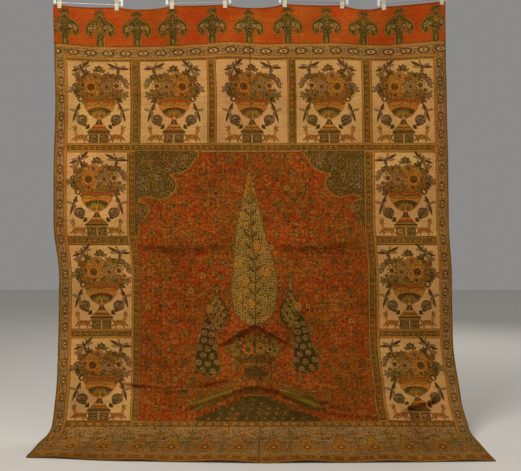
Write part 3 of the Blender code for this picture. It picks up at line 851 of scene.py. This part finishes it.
# The foot of the print: a gold strip, a row of teardrop flowers and a strip of ringed dots. It
# lies on the floor, so its flowers are drawn long
def printLowBorder(page):
    top, low, end = layout["borderTop"], layout["lowStripTop"], layout["hemTop"]
    field = layout["field"]["bottom"]
    flowers = layout["footFlowers"]
    middle, half = (field + top) / 2, 500 * (top - field)
    printShape(page, place(0.0, middle), "buff", block(936, half))
    printShape(page, place(0.0, middle), "gold", block(936, half - 5), lace=0.45, filler=0.9)
    for number in range(46):
        printShape(page, place(-0.922 + 0.041 * number, middle), "olive", rosette(9.5, 4, 0.4), turn=45)
    ground = block(936, 500 * (low - top))
    printShape(page, place(0.0, (top + low) / 2), "mauve", ground, filler=0.7, lace=0.95)
    printShape(page, place(0.0, top + 0.060), "mauve", block(936, 60), filler=0.6, lace=1.0)
    for side, first in ((-1, flowers["left"]), (1, flowers["right"])):
        for number in range(6):
            u = side * (first + flowers["step"] * number)
            at = place(u, flowers["run"])
            ink = partial(printShape, page, at)
            ink("mauve", disc(64, 150), 0, 46, filler=0.5, lace=1.0)
            for x, y, turn in ((-46, 150, -20), (46, 96, 20), (0, 172, 0)):
                printSpray(page, at, x, y, turn, "olive", 34, 11, 44, "buff")
            ink("gold", disc(40, 84), 0, 40, filler=0.9, lace=0.5)
            ink("gold", blade(140, 46), 0, 52, filler=0.9, lace=0.5)
            for lean in range(-150, 181, 30):
                turn = math.radians(lean)
                x, y = 17 * math.sin(turn), 40 + 36 * math.cos(turn)
                ink("gold" if lean % 60 else "marigold", blade(44, 13), x, y, lean)
            ink("orange", disc(16, 34), 0, 40)
            ink("marigold", disc(12, 26), 0, 40)
            ink("buff", disc(8, 15), 0, 40)
            edge = place(u + 0.076 * side, 2.33)
            printShape(page, edge, "buff", stroke([(3, -150), (-4, -50), (4, 50), (-3, 150)], 7))
            for y in (-120, -72, -24, 24, 72, 120):
                printSpray(page, edge, 0, y, 0, "quince", 30, 9, 56)
    strip = place(0.0, (low + end) / 2)
    printShape(page, strip, "gold", block(1010, (end - low) * 500), filler=0.8, lace=0.4)
    for number in range(32):
        at = place(-0.97 + 0.0626 * number, (low + end) / 2)
        ink = partial(printShape, page, at)
        ink("orange", disc(20, 24), filler=0.5)
        ink("olive", disc(12, 13), filler=0.5)
        ink("buff", disc(5, 6))
    printShape(page, place(0.0, low + 0.008), "quince", block(1010, 6))
    printShape(page, place(0.0, end - 0.008), "olive", block(1010, 4))
    printShape(page, place(0.0, end + 0.02), "gold", block(1010, 20), filler=0.5)


def printCloth():
    page = newPage(cloth["bandDepth"], clothEnd, cloth["cell"], "buff")
    printLowBorder(page)
    printGuards(page)
    printPanels(page)
    printStrips(page)
    printField(page)
    printFieldSides(page)
    under = layout["panelTops"][1]
    printStrip(page, layout["leftColumn"][0], under - 0.042, layout["rightColumn"][1], under - 0.006)
    # A thin brown line down the centre seam, where the two widths join: painted shade of the seam's valley,
    # which the seam dip is too small to cast on this mesh
    printShape(page, place(0.0, 1.40), "brown", block(0.6, 1230))
    return page


# How far down the cloth a line of the print lies. Its level lines droop between the clips, and the
# last of them follow the hem
def printRun(across, row, isLow):
    run = row + hang["sideLift"] * across * across * smooth(row / hang["liftBeginsOver"])
    droop = easedTable(droops, "across", "drop", across)
    run = run + droop * np.where(row < cloth["bandDepth"], (row / cloth["bandDepth"]) ** 2,
                                 np.exp(-(row - cloth["bandDepth"]) / droopFadesOver))
    if not isLow:
        return run
    tail = np.clip((row - cloth["drawnInFrom"]) / (clothEnd - cloth["drawnInFrom"]), 0.0, 1.0)
    end = cloth["length"] + easedTable(hem, "across", "past", across)
    return run + (end - clothEnd - hang["sideLift"] * across * across) * tail


# A sheet of the hung cloth with the page's dyes kept on its points
def clothSheet(name, page, columns, isLow):
    u = page["u"][columns]
    v = page["v"]
    across, row = np.meshgrid(u, v)
    run = printRun(across, row, isLow)
    points = clothPoint(across, run, -seamDip(across, row)).reshape(-1, 3)
    rows, cols = across.shape
    corner = np.arange((rows - 1) * cols).reshape(rows - 1, cols)[:, :-1].reshape(-1)
    faces = np.stack((corner, corner + cols, corner + cols + 1, corner + 1), axis=-1)
    mesh = bpy.data.meshes.new(name)
    mesh.from_pydata(points.tolist(), [], faces.tolist())
    mesh.shade_smooth()
    for dye, field in page["dyes"].items():
        values = mesh.attributes.new(dye, "FLOAT", "POINT")
        values.data.foreach_set("value", field[:, columns].reshape(-1).astype(np.float32))
    for pattern in ("filler", "lace"):
        values = mesh.attributes.new(pattern, "FLOAT", "POINT")
        values.data.foreach_set("value", page[pattern][:, columns].reshape(-1).astype(np.float32))
    flat = np.stack((across, -row), axis=-1).reshape(-1, 2)
    loops = np.empty(len(mesh.loops), np.int32)
    mesh.loops.foreach_get("vertex_index", loops)
    addUv(mesh, "cloth", flat[loops])
    low, high = flat.min(axis=0), flat.max(axis=0)
    addUv(mesh, "OFBake", (flat[loops] - low) / (high - low).max())
    sheet = bpy.data.objects.new(name, mesh)
    bpy.context.scene.collection.objects.link(sheet)
    return sheet


def addUv(mesh, name, places):
    layer = mesh.uv_layers.new(name=name)
    layer.data.foreach_set("uv", places.reshape(-1).astype(np.float32))


# The cloth draws in a little along the centre seam and under the band
def seamDip(across, row):
    centre = seams["dip"] * np.exp(-((across / seams["dipReach"]) ** 2))
    under = seams["dip"] * np.exp(-(((row - cloth["bandDepth"]) / seams["dipReach"]) ** 2))
    return centre + under


# Places over the print, by its own lines
def onCloth(across, row, proud, isLow=True):
    across, row = np.asarray(across, float), np.asarray(row, float)
    return clothPoint(across, printRun(across, row, isLow), proud)


# A folded hem along a run of places on the print: a flat tube that wraps the cut edge
def hemRoll(name, edge, inward, isLow=True):
    half, thick = seams["hemWidth"], seams["hemThick"]
    past = seams["hemPast"]
    section = ((-3 * past, 0.0), (-past, thick), (half * 0.5, thick * 1.2), (half, thick * 0.5),
               (half, -thick * 0.5), (half * 0.5, -thick * 1.2), (-past, -thick))
    lines = [onCloth(edge[:, 0] + inward[0] * away, edge[:, 1] + inward[1] * away, proud, isLow)
             for away, proud in section]
    count, around = len(edge), len(section)
    points = np.stack(lines, axis=1).reshape(-1, 3)
    faces = [(row * around + k, row * around + (k + 1) % around, (row + 1) * around + (k + 1) % around,
              (row + 1) * around + k) for row in range(count - 1) for k in range(around)]
    faces += [tuple(range(around)), tuple(reversed(range((count - 1) * around, count * around)))]
    return newPiece(name, points, faces)


def newPiece(name, points, faces):
    mesh = bpy.data.meshes.new(name)
    mesh.from_pydata([tuple(map(float, point)) for point in points], [], faces)
    shape = bmesh.new()
    shape.from_mesh(mesh)
    bmesh.ops.recalc_face_normals(shape, faces=shape.faces)
    shape.to_mesh(mesh)
    shape.free()
    mesh.shade_smooth()
    piece = bpy.data.objects.new(name, mesh)
    bpy.context.scene.collection.objects.link(piece)
    return piece


# Running stitches down a run of places on the print, each a small bent thread
def stitches(name, along, isLow=True):
    points, faces = [], []
    dice = random.Random(len(along))
    for (u0, v0), (u1, v1) in zip(along[::2], along[1::2]):
        slip = dice.uniform(-seams["slip"], seams["slip"])
        bend = ((0.0, -seams["sunk"]), (0.25, seams["proud"]), (0.75, seams["proud"]), (1.0, -seams["sunk"]))
        middle = [onCloth(u0 + (u1 - u0) * share + slip, v0 + (v1 - v0) * share + slip, high, isLow)
                  for share, high in bend]
        forward = Vector(middle[-1]) - Vector(middle[0])
        aside = forward.cross(Vector((0.0, -1.0, 0.2))).normalized() * seams["thread"]
        upward = aside.cross(forward).normalized() * seams["thread"]
        base = len(points)
        for spot in middle:
            spot = Vector(spot)
            points += [spot + aside, spot + upward, spot - aside, spot - upward]
        faces += [(base + k + n, base + k + (n + 1) % 4, base + k + 4 + (n + 1) % 4, base + k + 4 + n)
                  for k in (0, 4, 8) for n in range(4)]
        faces += [(base, base + 1, base + 2, base + 3), (base + 15, base + 14, base + 13, base + 12)]
    return newPiece(name, points, faces)


# The hems of each width and of the band, and the stitching of the two seams
def sewnEdges():
    low, high = cloth["bandDepth"], clothEnd
    down = np.arange(low, high + 0.0001, 0.012)
    pieces = {"left": [], "right": [], "band": []}
    for side, flip in (("left", -1), ("right", 1)):
        edge = np.stack((np.full(len(down), 1.0 * flip), down), axis=1)
        pieces[side].append(hemRoll("side_hem_" + side, edge, (-flip, 0.0)))
        acrossRow = np.linspace(0.0012, 0.999, 84) * flip
        edge = np.stack((acrossRow, np.full(len(acrossRow), high)), axis=1)
        pieces[side].append(hemRoll("low_hem_" + side, edge, (0.0, -1.0)))
        seam = [(0.0042 * flip, v) for v in np.arange(low + 0.012, high - 0.03, seams["seamPitch"])]
        pieces[side].append(stitches("centre_stitches_" + side, seam))
        run = [(0.9885 * flip, v) for v in np.arange(low + 0.01, high - 0.02, seams["hemPitch"])]
        pieces[side].append(stitches("side_stitches_" + side, run))
        run = [(u * flip, high - 0.0115) for u in np.arange(0.01, 0.985, seams["hemPitch"])]
        pieces[side].append(stitches("low_stitches_" + side, run))
    across = np.linspace(-0.9995, 0.9995, 170)
    top = np.stack((across, np.zeros(len(across))), axis=1)
    pieces["band"].append(hemRoll("top_hem", top, (0.0, 1.0), False))
    seam = [(u, cloth["bandDepth"] - 0.006) for u in np.arange(-0.99, 0.99, seams["seamPitch"])]
    pieces["band"].append(stitches("band_stitches", seam, False))
    for flip in (-1, 1):
        down = np.linspace(0.0, cloth["bandDepth"] - 0.001, 18)
        edge = np.stack((np.full(len(down), 1.0 * flip), down), axis=1)
        name = "band_end_left" if flip < 0 else "band_end_right"
        pieces["band"].append(hemRoll(name, edge, (-flip, 0.0), False))
    return pieces


# An empty shader node group, with the sockets of its own input and output nodes. An input
# without a value is a vector or a color, by its title.
def newGroup(name, inputs, outputs):
    group = bpy.data.node_groups.new(name, "ShaderNodeTree")
    for title, value in inputs.items():
        kind = "NodeSocket" + (title if value is None else "Float")
        socket = group.interface.new_socket(title, in_out="INPUT", socket_type=kind)
        if value is not None:
            socket.default_value = value
    for title in outputs:
        kind = "NodeSocket" + ("Color" if title == "Color" else "Float")
        group.interface.new_socket(title, in_out="OUTPUT", socket_type=kind)
    return group, group.nodes.new("NodeGroupInput").outputs, group.nodes.new("NodeGroupOutput").inputs


# A node with its settings, and its inputs given by name or number as values or sockets
def add(tree, kind, inputs=None, **settings):
    node = tree.nodes.new("ShaderNode" + kind)
    for name, value in settings.items():
        setattr(node, name, value)
    for key, value in (inputs or {}).items():
        socket = node.inputs[key]
        if isinstance(value, bpy.types.NodeSocket):
            tree.links.new(value, socket)
        elif socket.type == "RGBA" and len(value) == 3:
            socket.default_value = (*value, 1.0)
        else:
            socket.default_value = value
    return node


def maths(tree, operation, *values):
    return add(tree, "Math", dict(enumerate(values)), operation=operation).outputs[0]


def mix(tree, factor, first, second, blend="MIX"):
    return add(tree, "Mix", {0: factor, 6: first, 7: second}, data_type="RGBA", blend_type=blend).outputs[2]


def ramp(tree, value, fromLow, fromHigh, toLow=0.0, toHigh=1.0):
    return add(tree, "MapRange", {0: value, 1: fromLow, 2: fromHigh, 3: toLow, 4: toHigh}).outputs[0]


def noise(tree, vector, scale, detail=2.0, **more):
    return add(tree, "TexNoise", {"Vector": vector, "Scale": scale, "Detail": detail, **more}).outputs[0]


def voronoi(tree, vector, scale, randomness, **settings):
    inputs = {"Vector": vector, "Scale": scale, "Randomness": randomness}
    return add(tree, "TexVoronoi", inputs, voronoi_dimensions="2D", **settings).outputs


def stretched(tree, vector, scale):
    return add(tree, "Mapping", {0: vector, "Scale": scale}).outputs[0]


def scaled(tree, vector, scale):
    return add(tree, "VectorMath", {0: vector, "Scale": scale}, operation="SCALE").outputs[0]


def placed(tree, group, inputs):
    return add(tree, "Group", inputs, node_tree=group).outputs


# From a dye's distance field to where that dye is, with a wavering edge
def dyeMaskGroup():
    group, start, end = newGroup("dye mask", {"Distance": 0.0, "Waver": 0.0}, ("Mask", "Edge"))
    moved = maths(group, "ADD", start["Distance"], start["Waver"])
    group.links.new(ramp(group, moved, 0.5, -0.5), end["Mask"])
    group.links.new(maths(group, "ABSOLUTE", moved), end["Edge"])
    return group


# A plain weave: the height of its threads and a tone that follows uneven yarn
def weaveGroup():
    group, start, end = newGroup("plain weave", {"Vector": None, "Threads": 900.0}, ("Height", "Tone"))
    split = add(group, "SeparateXYZ", {0: scaled(group, start["Vector"], start["Threads"])}).outputs
    warp = maths(group, "SINE", maths(group, "MULTIPLY", split[0], math.pi * 2))
    weft = maths(group, "SINE", maths(group, "MULTIPLY", split[1], math.pi * 2))
    group.links.new(maths(group, "MULTIPLY", warp, weft), end["Height"])
    across = noise(group, stretched(group, start["Vector"], (14.0, 420.0, 1.0)), 1.0)
    down = noise(group, stretched(group, start["Vector"], (420.0, 14.0, 1.0)), 1.0)
    group.links.new(ramp(group, maths(group, "ADD", across, down), 0.7, 1.3), end["Tone"])
    return group


# Small flowers and leaves strewn over a ground: where the petals, hearts and leaves are, and a
# chance for each flower that picks its colour
def fillerGroup():
    group, start, end = newGroup("strewn flowers", {"Vector": None, "Scale": 60.0},
                                 ("Petals", "Heart", "Leaves", "Chance"))
    spread = scaled(group, start["Vector"], start["Scale"])
    flowers = voronoi(group, spread, 1.0, 0.75)
    away = add(group, "VectorMath", {0: spread, 1: flowers["Position"]}, operation="SUBTRACT")
    split = add(group, "SeparateXYZ", {0: away.outputs[0]}).outputs
    chance = add(group, "SeparateColor", {0: flowers["Color"]}).outputs
    spin = maths(group, "MULTIPLY", chance[1], 6.28)
    angle = maths(group, "ADD", maths(group, "ARCTAN2", split[1], split[0]), spin)
    lobe = maths(group, "COSINE", maths(group, "MULTIPLY", angle, 5.0))
    rim = maths(group, "MULTIPLY_ADD", lobe, 0.075, 0.27)
    radius = flowers["Distance"]
    group.links.new(ramp(group, maths(group, "SUBTRACT", radius, rim), 0.03, -0.03), end["Petals"])
    group.links.new(ramp(group, radius, 0.12, 0.08), end["Heart"])
    group.links.new(chance[0], end["Chance"])
    moved = add(group, "VectorMath", {0: spread, 1: (7.3, 2.9, 0.0)}, operation="ADD").outputs[0]
    between = voronoi(group, moved, 1.7, 0.9, feature="DISTANCE_TO_EDGE")
    group.links.new(ramp(group, between["Distance"], 0.16, 0.22), end["Leaves"])
    return group


# A branching network: where its veins run, the specks between them, and slow clouds
def laceGroup():
    group, start, end = newGroup("laced veins", {"Vector": None, "Scale": 100.0},
                                 ("Veins", "Specks", "Cloud"))
    spread = scaled(group, start["Vector"], start["Scale"])
    bent = add(group, "TexNoise", {"Vector": spread, "Scale": 0.7, "Detail": 2.0}).outputs
    pushed = add(group, "VectorMath", {0: bent["Color"], 1: (1.2, 1.2, 0.0), 2: spread},
                 operation="MULTIPLY_ADD").outputs[0]
    edges = voronoi(group, pushed, 1.0, 0.9, feature="DISTANCE_TO_EDGE")["Distance"]
    chance = add(group, "SeparateColor", {0: voronoi(group, pushed, 1.0, 0.9)["Color"]}).outputs[0]
    veins = maths(group, "MULTIPLY", ramp(group, edges, 0.17, 0.09), ramp(group, bent[0], 0.3, 0.6, 0.4, 1.0))
    group.links.new(veins, end["Veins"])
    specks = maths(group, "MULTIPLY", ramp(group, edges, 0.16, 0.26), ramp(group, chance, 0.2, 0.6))
    group.links.new(specks, end["Specks"])
    group.links.new(ramp(group, noise(group, start["Vector"], 11.0), 0.56, 0.66), end["Cloud"])
    return group


# The height of soft hanging creases and of small rumples
def crumpleGroup():
    group, start, end = newGroup("soft creases", {"Vector": None}, ("Height",))
    soft = noise(group, stretched(group, start["Vector"], (5.0, 2.2, 1.0)), 1.0, 3.0, Distortion=0.8)
    small = noise(group, start["Vector"], 26.0, 3.0, Distortion=0.5)
    group.links.new(maths(group, "MULTIPLY_ADD", small, 0.10, soft), end["Height"])
    return group


# Uneven dye and handling: a slow fade, brushed streaks and small worn flecks
def ageGroup():
    group, start, end = newGroup("hand dyed age", {"Color": None, "Vector": None, "Fade": 0.3}, ("Color",))
    vector = start["Vector"]
    slow, fine = noise(group, vector, 3.2, 4.0), noise(group, vector, 110.0, 3.0)
    streak = noise(group, stretched(group, vector, (6.0, 60.0, 1.0)), 1.0, 3.0)
    light = maths(group, "MULTIPLY", ramp(group, slow, 0.3, 0.7, 0.80, 1.20),
                  ramp(group, streak, 0.3, 0.7, 0.90, 1.10))
    light = maths(group, "MULTIPLY", light, ramp(group, fine, 0.3, 0.7, 0.82, 1.18))
    drift = ramp(group, noise(group, vector, 4.6, 3.0), 0.38, 0.62, 0.94, 1.07)
    warm = add(group, "CombineColor", {0: light, 1: maths(group, "MULTIPLY", light, drift), 2: light})
    toned = mix(group, 1.0, start["Color"], warm.outputs[0], "MULTIPLY")
    worn = maths(group, "MULTIPLY", ramp(group, fine, 0.60, 0.72), start["Fade"])
    group.links.new(mix(group, worn, toned, (0.38, 0.17, 0.03)), end["Color"])
    return group


def finishOf(name):
    material = bpy.data.materials.new(name)
    material.use_nodes = True
    tree = material.node_tree
    return material, tree, tree.nodes["Principled BSDF"].inputs


# The cloth's own place for each point, in its flat metres
def flatPlace(tree):
    return add(tree, "UVMap", uv_map="cloth").outputs[0]


# Each dye over the ground, and the distance to the nearest edge of any
def dyedColor(tree, groups, flat):
    shaken = noise(tree, flat, 140.0)
    waver = ramp(tree, shaken, 0.25, 0.75, -1.3, 1.3)
    patch = ramp(tree, noise(tree, flat, 5.5, 5.0, Roughness=0.62), 0.40, 0.60)
    color, nearest = dyes["buff"]["color"], None
    for dye, spec in dyes.items():
        field = add(tree, "Attribute", attribute_name=dye).outputs["Fac"]
        mask = placed(tree, groups["mask"], {"Distance": field, "Waver": waver})
        thin = maths(tree, "MULTIPLY", shaken, spec["thin"])
        strength = maths(tree, "MULTIPLY", mask["Mask"], maths(tree, "SUBTRACT", 1.0, thin))
        color = mix(tree, strength, color, mix(tree, patch, spec["color"], spec["patch"]))
        nearest = mask["Edge"] if nearest is None else maths(tree, "MINIMUM", nearest, mask["Edge"])
    return color, nearest


# Printed cotton: the dyes, the small patterns, dark lines round them, the weave and the wear
def printedCotton(name, groups):
    material, tree, surface = finishOf(name)
    flat = flatPlace(tree)
    color, nearest = dyedColor(tree, groups, flat)
    for pattern, over in (("filler", fillerOver), ("lace", laceOver)):
        strength = add(tree, "Attribute", attribute_name=pattern).outputs["Fac"]
        color = over(tree, groups, color, flat, strength)
    inked = ramp(tree, nearest, line["half"] + line["soft"], line["half"] - 0.4, 0.0, 0.75)
    color = mix(tree, inked, color, line["color"])
    weave = placed(tree, groups["weave"], {"Threads": 700.0, "Vector": flat})
    tone = ramp(tree, weave["Tone"], 0.0, 1.0, 0.90, 1.08)
    toned = add(tree, "CombineColor", {0: tone, 1: tone, 2: tone}).outputs[0]
    color = mix(tree, 1.0, color, toned, "MULTIPLY")
    aged = placed(tree, groups["age"], {"Fade": 0.25, "Color": color, "Vector": flat})["Color"]
    back = add(tree, "NewGeometry").outputs["Backfacing"]
    behind = mix(tree, 0.55, aged, (0.30, 0.17, 0.06))   # the print struck through to the back
    tree.links.new(mix(tree, back, aged, behind), surface["Base Color"])
    woven = add(tree, "Bump", {"Strength": 0.25, "Distance": 0.0004, "Height": weave["Height"]}).outputs[0]
    crumple = placed(tree, groups["crumple"], {"Vector": flat})["Height"]
    rumpled = add(tree, "Bump", {"Strength": 0.6, "Distance": 0.014, "Normal": woven, "Height": crumple})
    tree.links.new(rumpled.outputs[0], surface["Normal"])
    surface["Roughness"].default_value = 0.88
    surface["Specular IOR Level"].default_value = 0.015
    return material


# Small strewn flowers: dark vines, petals in four tones and dark hearts, at two sizes
def fillerOver(tree, groups, color, flat, strength):
    for scale, share in ((40.0, 0.80), (78.0, 0.85)):
        strewn = placed(tree, groups["filler"], {"Scale": scale, "Vector": flat})
        weight = maths(tree, "MULTIPLY", strength, share)
        vines = maths(tree, "MULTIPLY", strewn["Leaves"], maths(tree, "MULTIPLY", weight, 0.40))
        color = mix(tree, vines, color, (0.055, 0.020, 0.002))
        chance = strewn["Chance"]
        tone = (0.420, 0.095, 0.005)
        for low, high, petals in ((0.40, 0.44, (0.360, 0.165, 0.030)), (0.66, 0.70, (0.100, 0.056, 0.005)),
                                  (0.84, 0.87, (0.180, 0.018, 0.001))):
            tone = mix(tree, ramp(tree, chance, low, high), tone, petals)
        color = mix(tree, maths(tree, "MULTIPLY", strewn["Petals"], weight), color, tone)
        color = mix(tree, maths(tree, "MULTIPLY", strewn["Heart"], weight), color, (0.060, 0.022, 0.002))
    return color


# A close network: soft orange clouds, then dark specks, then pale branching veins
def laceOver(tree, groups, color, flat, strength):
    lace = placed(tree, groups["lace"], {"Scale": 81.0, "Vector": flat})
    for title, share, tone in (("Cloud", 0.85, (0.400, 0.130, 0.006)),
                               ("Specks", 0.85, (0.036, 0.024, 0.002)),
                               ("Veins", 0.75, (0.460, 0.245, 0.055))):
        weight = maths(tree, "MULTIPLY", lace[title], maths(tree, "MULTIPLY", strength, share))
        color = mix(tree, weight, color, tone)
    return color


# Plain dyed cotton for the hems and the thread
def plainCotton(name, color):
    material, tree, surface = finishOf(name)
    spot = add(tree, "TexCoord").outputs["Object"]
    fibres, patches = noise(tree, spot, 900.0, 3.0), noise(tree, spot, 30.0, 4.0)
    dark = tuple(0.62 * part for part in color)
    tree.links.new(mix(tree, ramp(tree, patches, 0.35, 0.65), dark, color), surface["Base Color"])
    bump = add(tree, "Bump", {"Strength": 0.3, "Distance": 0.0004, "Height": fibres})
    tree.links.new(bump.outputs[0], surface["Normal"])
    surface["Roughness"].default_value = 0.9
    surface["Specular IOR Level"].default_value = 0.06
    return material


def clearPlastic():
    material, tree, surface = finishOf("clear moulding")
    haze = noise(tree, add(tree, "TexCoord").outputs["Object"], 260.0, 3.0)
    tree.links.new(ramp(tree, haze, 0.3, 0.7, 0.10, 0.26), surface["Roughness"])
    tree.links.new(mix(tree, haze, (0.80, 0.87, 0.90), (0.90, 0.94, 0.95)), surface["Base Color"])
    surface["Alpha"].default_value = 0.5
    surface["IOR"].default_value = 1.5
    return material


def clipPlastic():
    material, tree, surface = finishOf("clip plastic")
    spot = add(tree, "TexCoord").outputs["Object"]
    stain, grain = noise(tree, spot, 60.0, 5.0), noise(tree, spot, 1800.0)
    yellowed = mix(tree, ramp(tree, stain, 0.4, 0.7), (0.62, 0.55, 0.38), (0.44, 0.37, 0.23))
    tree.links.new(yellowed, surface["Base Color"])
    tree.links.new(ramp(tree, stain, 0.3, 0.7, 0.32, 0.50), surface["Roughness"])
    bump = add(tree, "Bump", {"Strength": 0.15, "Distance": 0.0003, "Height": grain})
    tree.links.new(bump.outputs[0], surface["Normal"])
    return material


def brightWire():
    material, tree, surface = finishOf("bright wire")
    drawn = stretched(tree, add(tree, "TexCoord").outputs["Object"], (40.0, 900.0, 900.0))
    scratch = noise(tree, drawn, 1.0, 3.0)
    tree.links.new(ramp(tree, scratch, 0.3, 0.7, 0.30, 0.48), surface["Roughness"])
    tree.links.new(mix(tree, scratch, (0.34, 0.33, 0.35), (0.46, 0.44, 0.46)), surface["Base Color"])
    surface["Metallic"].default_value = 1.0
    return material


def dressHangers():
    finishes = {"frame": clearPlastic(), "hook": brightWire(), "clip": clipPlastic()}
    finishes["rod"] = finishes["hook"]
    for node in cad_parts:
        kind = node.split("_")[2] if node.startswith("hanger_") else None
        if kind in finishes:
            thing = bpy.data.objects[node]
            thing.data.materials.clear()
            thing.data.materials.append(finishes[kind])


stage = {
    "floorColor": (0.78, 0.76, 0.72),
    "floorHalf": 12.0,
    "world": (0.84, 0.82, 0.79),
    "worldLight": 0.31,
    "lampColor": (1.0, 0.955, 0.88),
    "lampsFace": (0.0, -0.1, -1.3),
}
camera = {"at": (0.057, -4.6, -1.309), "lens": 62.6}
lights = tableOf("name at size watts",
    ("key", (-1.3, -2.9, 1.5), 1.6, 115.0), ("fill", (2.4, -4.0, 0.0), 2.8, 12.0),
    ("low", (-2.0, -4.4, -1.0), 2.4, 5.0), ("behind", (1.8, 4.2, 1.2), 2.4, 60.0))


def buildStage():
    bpy.ops.mesh.primitive_plane_add(size=stage["floorHalf"] * 2)
    floor = bpy.context.object
    floor.name = "floor"
    floor.location = (0.0, 0.0, cadBox[0][2] - 0.001)
    material, tree, surface = finishOf("floor")
    surface["Base Color"].default_value = (*stage["floorColor"], 1.0)
    surface["Roughness"].default_value = 0.85
    floor.data.materials.append(material)
    world = bpy.data.worlds.new("studio")
    world.use_nodes = True
    background = world.node_tree.nodes["Background"]
    background.inputs["Color"].default_value = (*stage["world"], 1.0)
    background.inputs["Strength"].default_value = stage["worldLight"]
    bpy.context.scene.world = world
    bpy.context.scene.view_settings.view_transform = "Standard"
    middle = Vector(stage["lampsFace"])
    for spec in lights:
        data = bpy.data.lights.new(spec["name"], "AREA")
        data.energy = spec["watts"]
        data.color = stage["lampColor"]
        data.size = spec["size"]
        lamp = bpy.data.objects.new(spec["name"], data)
        lamp.location = spec["at"]
        lamp.rotation_euler = (middle - lamp.location).to_track_quat("-Z", "Y").to_euler()
        bpy.context.scene.collection.objects.link(lamp)
    data = bpy.data.cameras.new("camera")
    data.lens = camera["lens"]
    data.sensor_fit = "HORIZONTAL"
    view = bpy.data.objects.new("camera", data)
    view.location = camera["at"]
    view.rotation_euler = (math.radians(90.0), 0.0, 0.0)
    bpy.context.scene.collection.objects.link(view)
    bpy.context.scene.camera = view


# Gives a sheet and what is sewn on it their finishes, each in a material slot, and their body, and hides the
# CAD part of its node
def dress(piece, node, material, sewn, finishes):
    piece.data.materials.append(material)
    rolled = finishes["band" if node == "top_band" else "hem"]
    for part in sewn:
        part.data.materials.append(finishes["thread"] if "stitches" in part.name else rolled)
    for part in [piece] + sewn:
        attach(part, "root")
        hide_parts(node)


def main():
    groups = {"mask": dyeMaskGroup(), "weave": weaveGroup(), "filler": fillerGroup(),
              "lace": laceGroup(), "crumple": crumpleGroup(), "age": ageGroup()}
    cotton = printedCotton("printed cotton", groups)
    page = printCloth()
    print("printed the two widths")
    bandPage = printBand()
    print("printed the band")
    centre = len(page["u"]) // 2
    left = clothSheet("printed_left", page, slice(0, centre + 1), True)
    right = clothSheet("printed_right", page, slice(centre, None), True)
    band = clothSheet("printed_band", bandPage, slice(None), False)
    sewn = sewnEdges()
    finishes = {"hem": plainCotton("hem cotton", (0.190, 0.095, 0.014)),
                "band": plainCotton("band hem cotton", (0.330, 0.066, 0.004)),
                "thread": plainCotton("thread", (0.300, 0.170, 0.060))}
    dress(left, "cloth_left", cotton, sewn["left"], finishes)
    dress(right, "cloth_right", cotton, sewn["right"], finishes)
    dress(band, "top_band", cotton, sewn["band"], finishes)
    print("hung the cloth")
    dressHangers()
    print("dressed the hangers")
    buildStage()
    print("set the stage")


main()
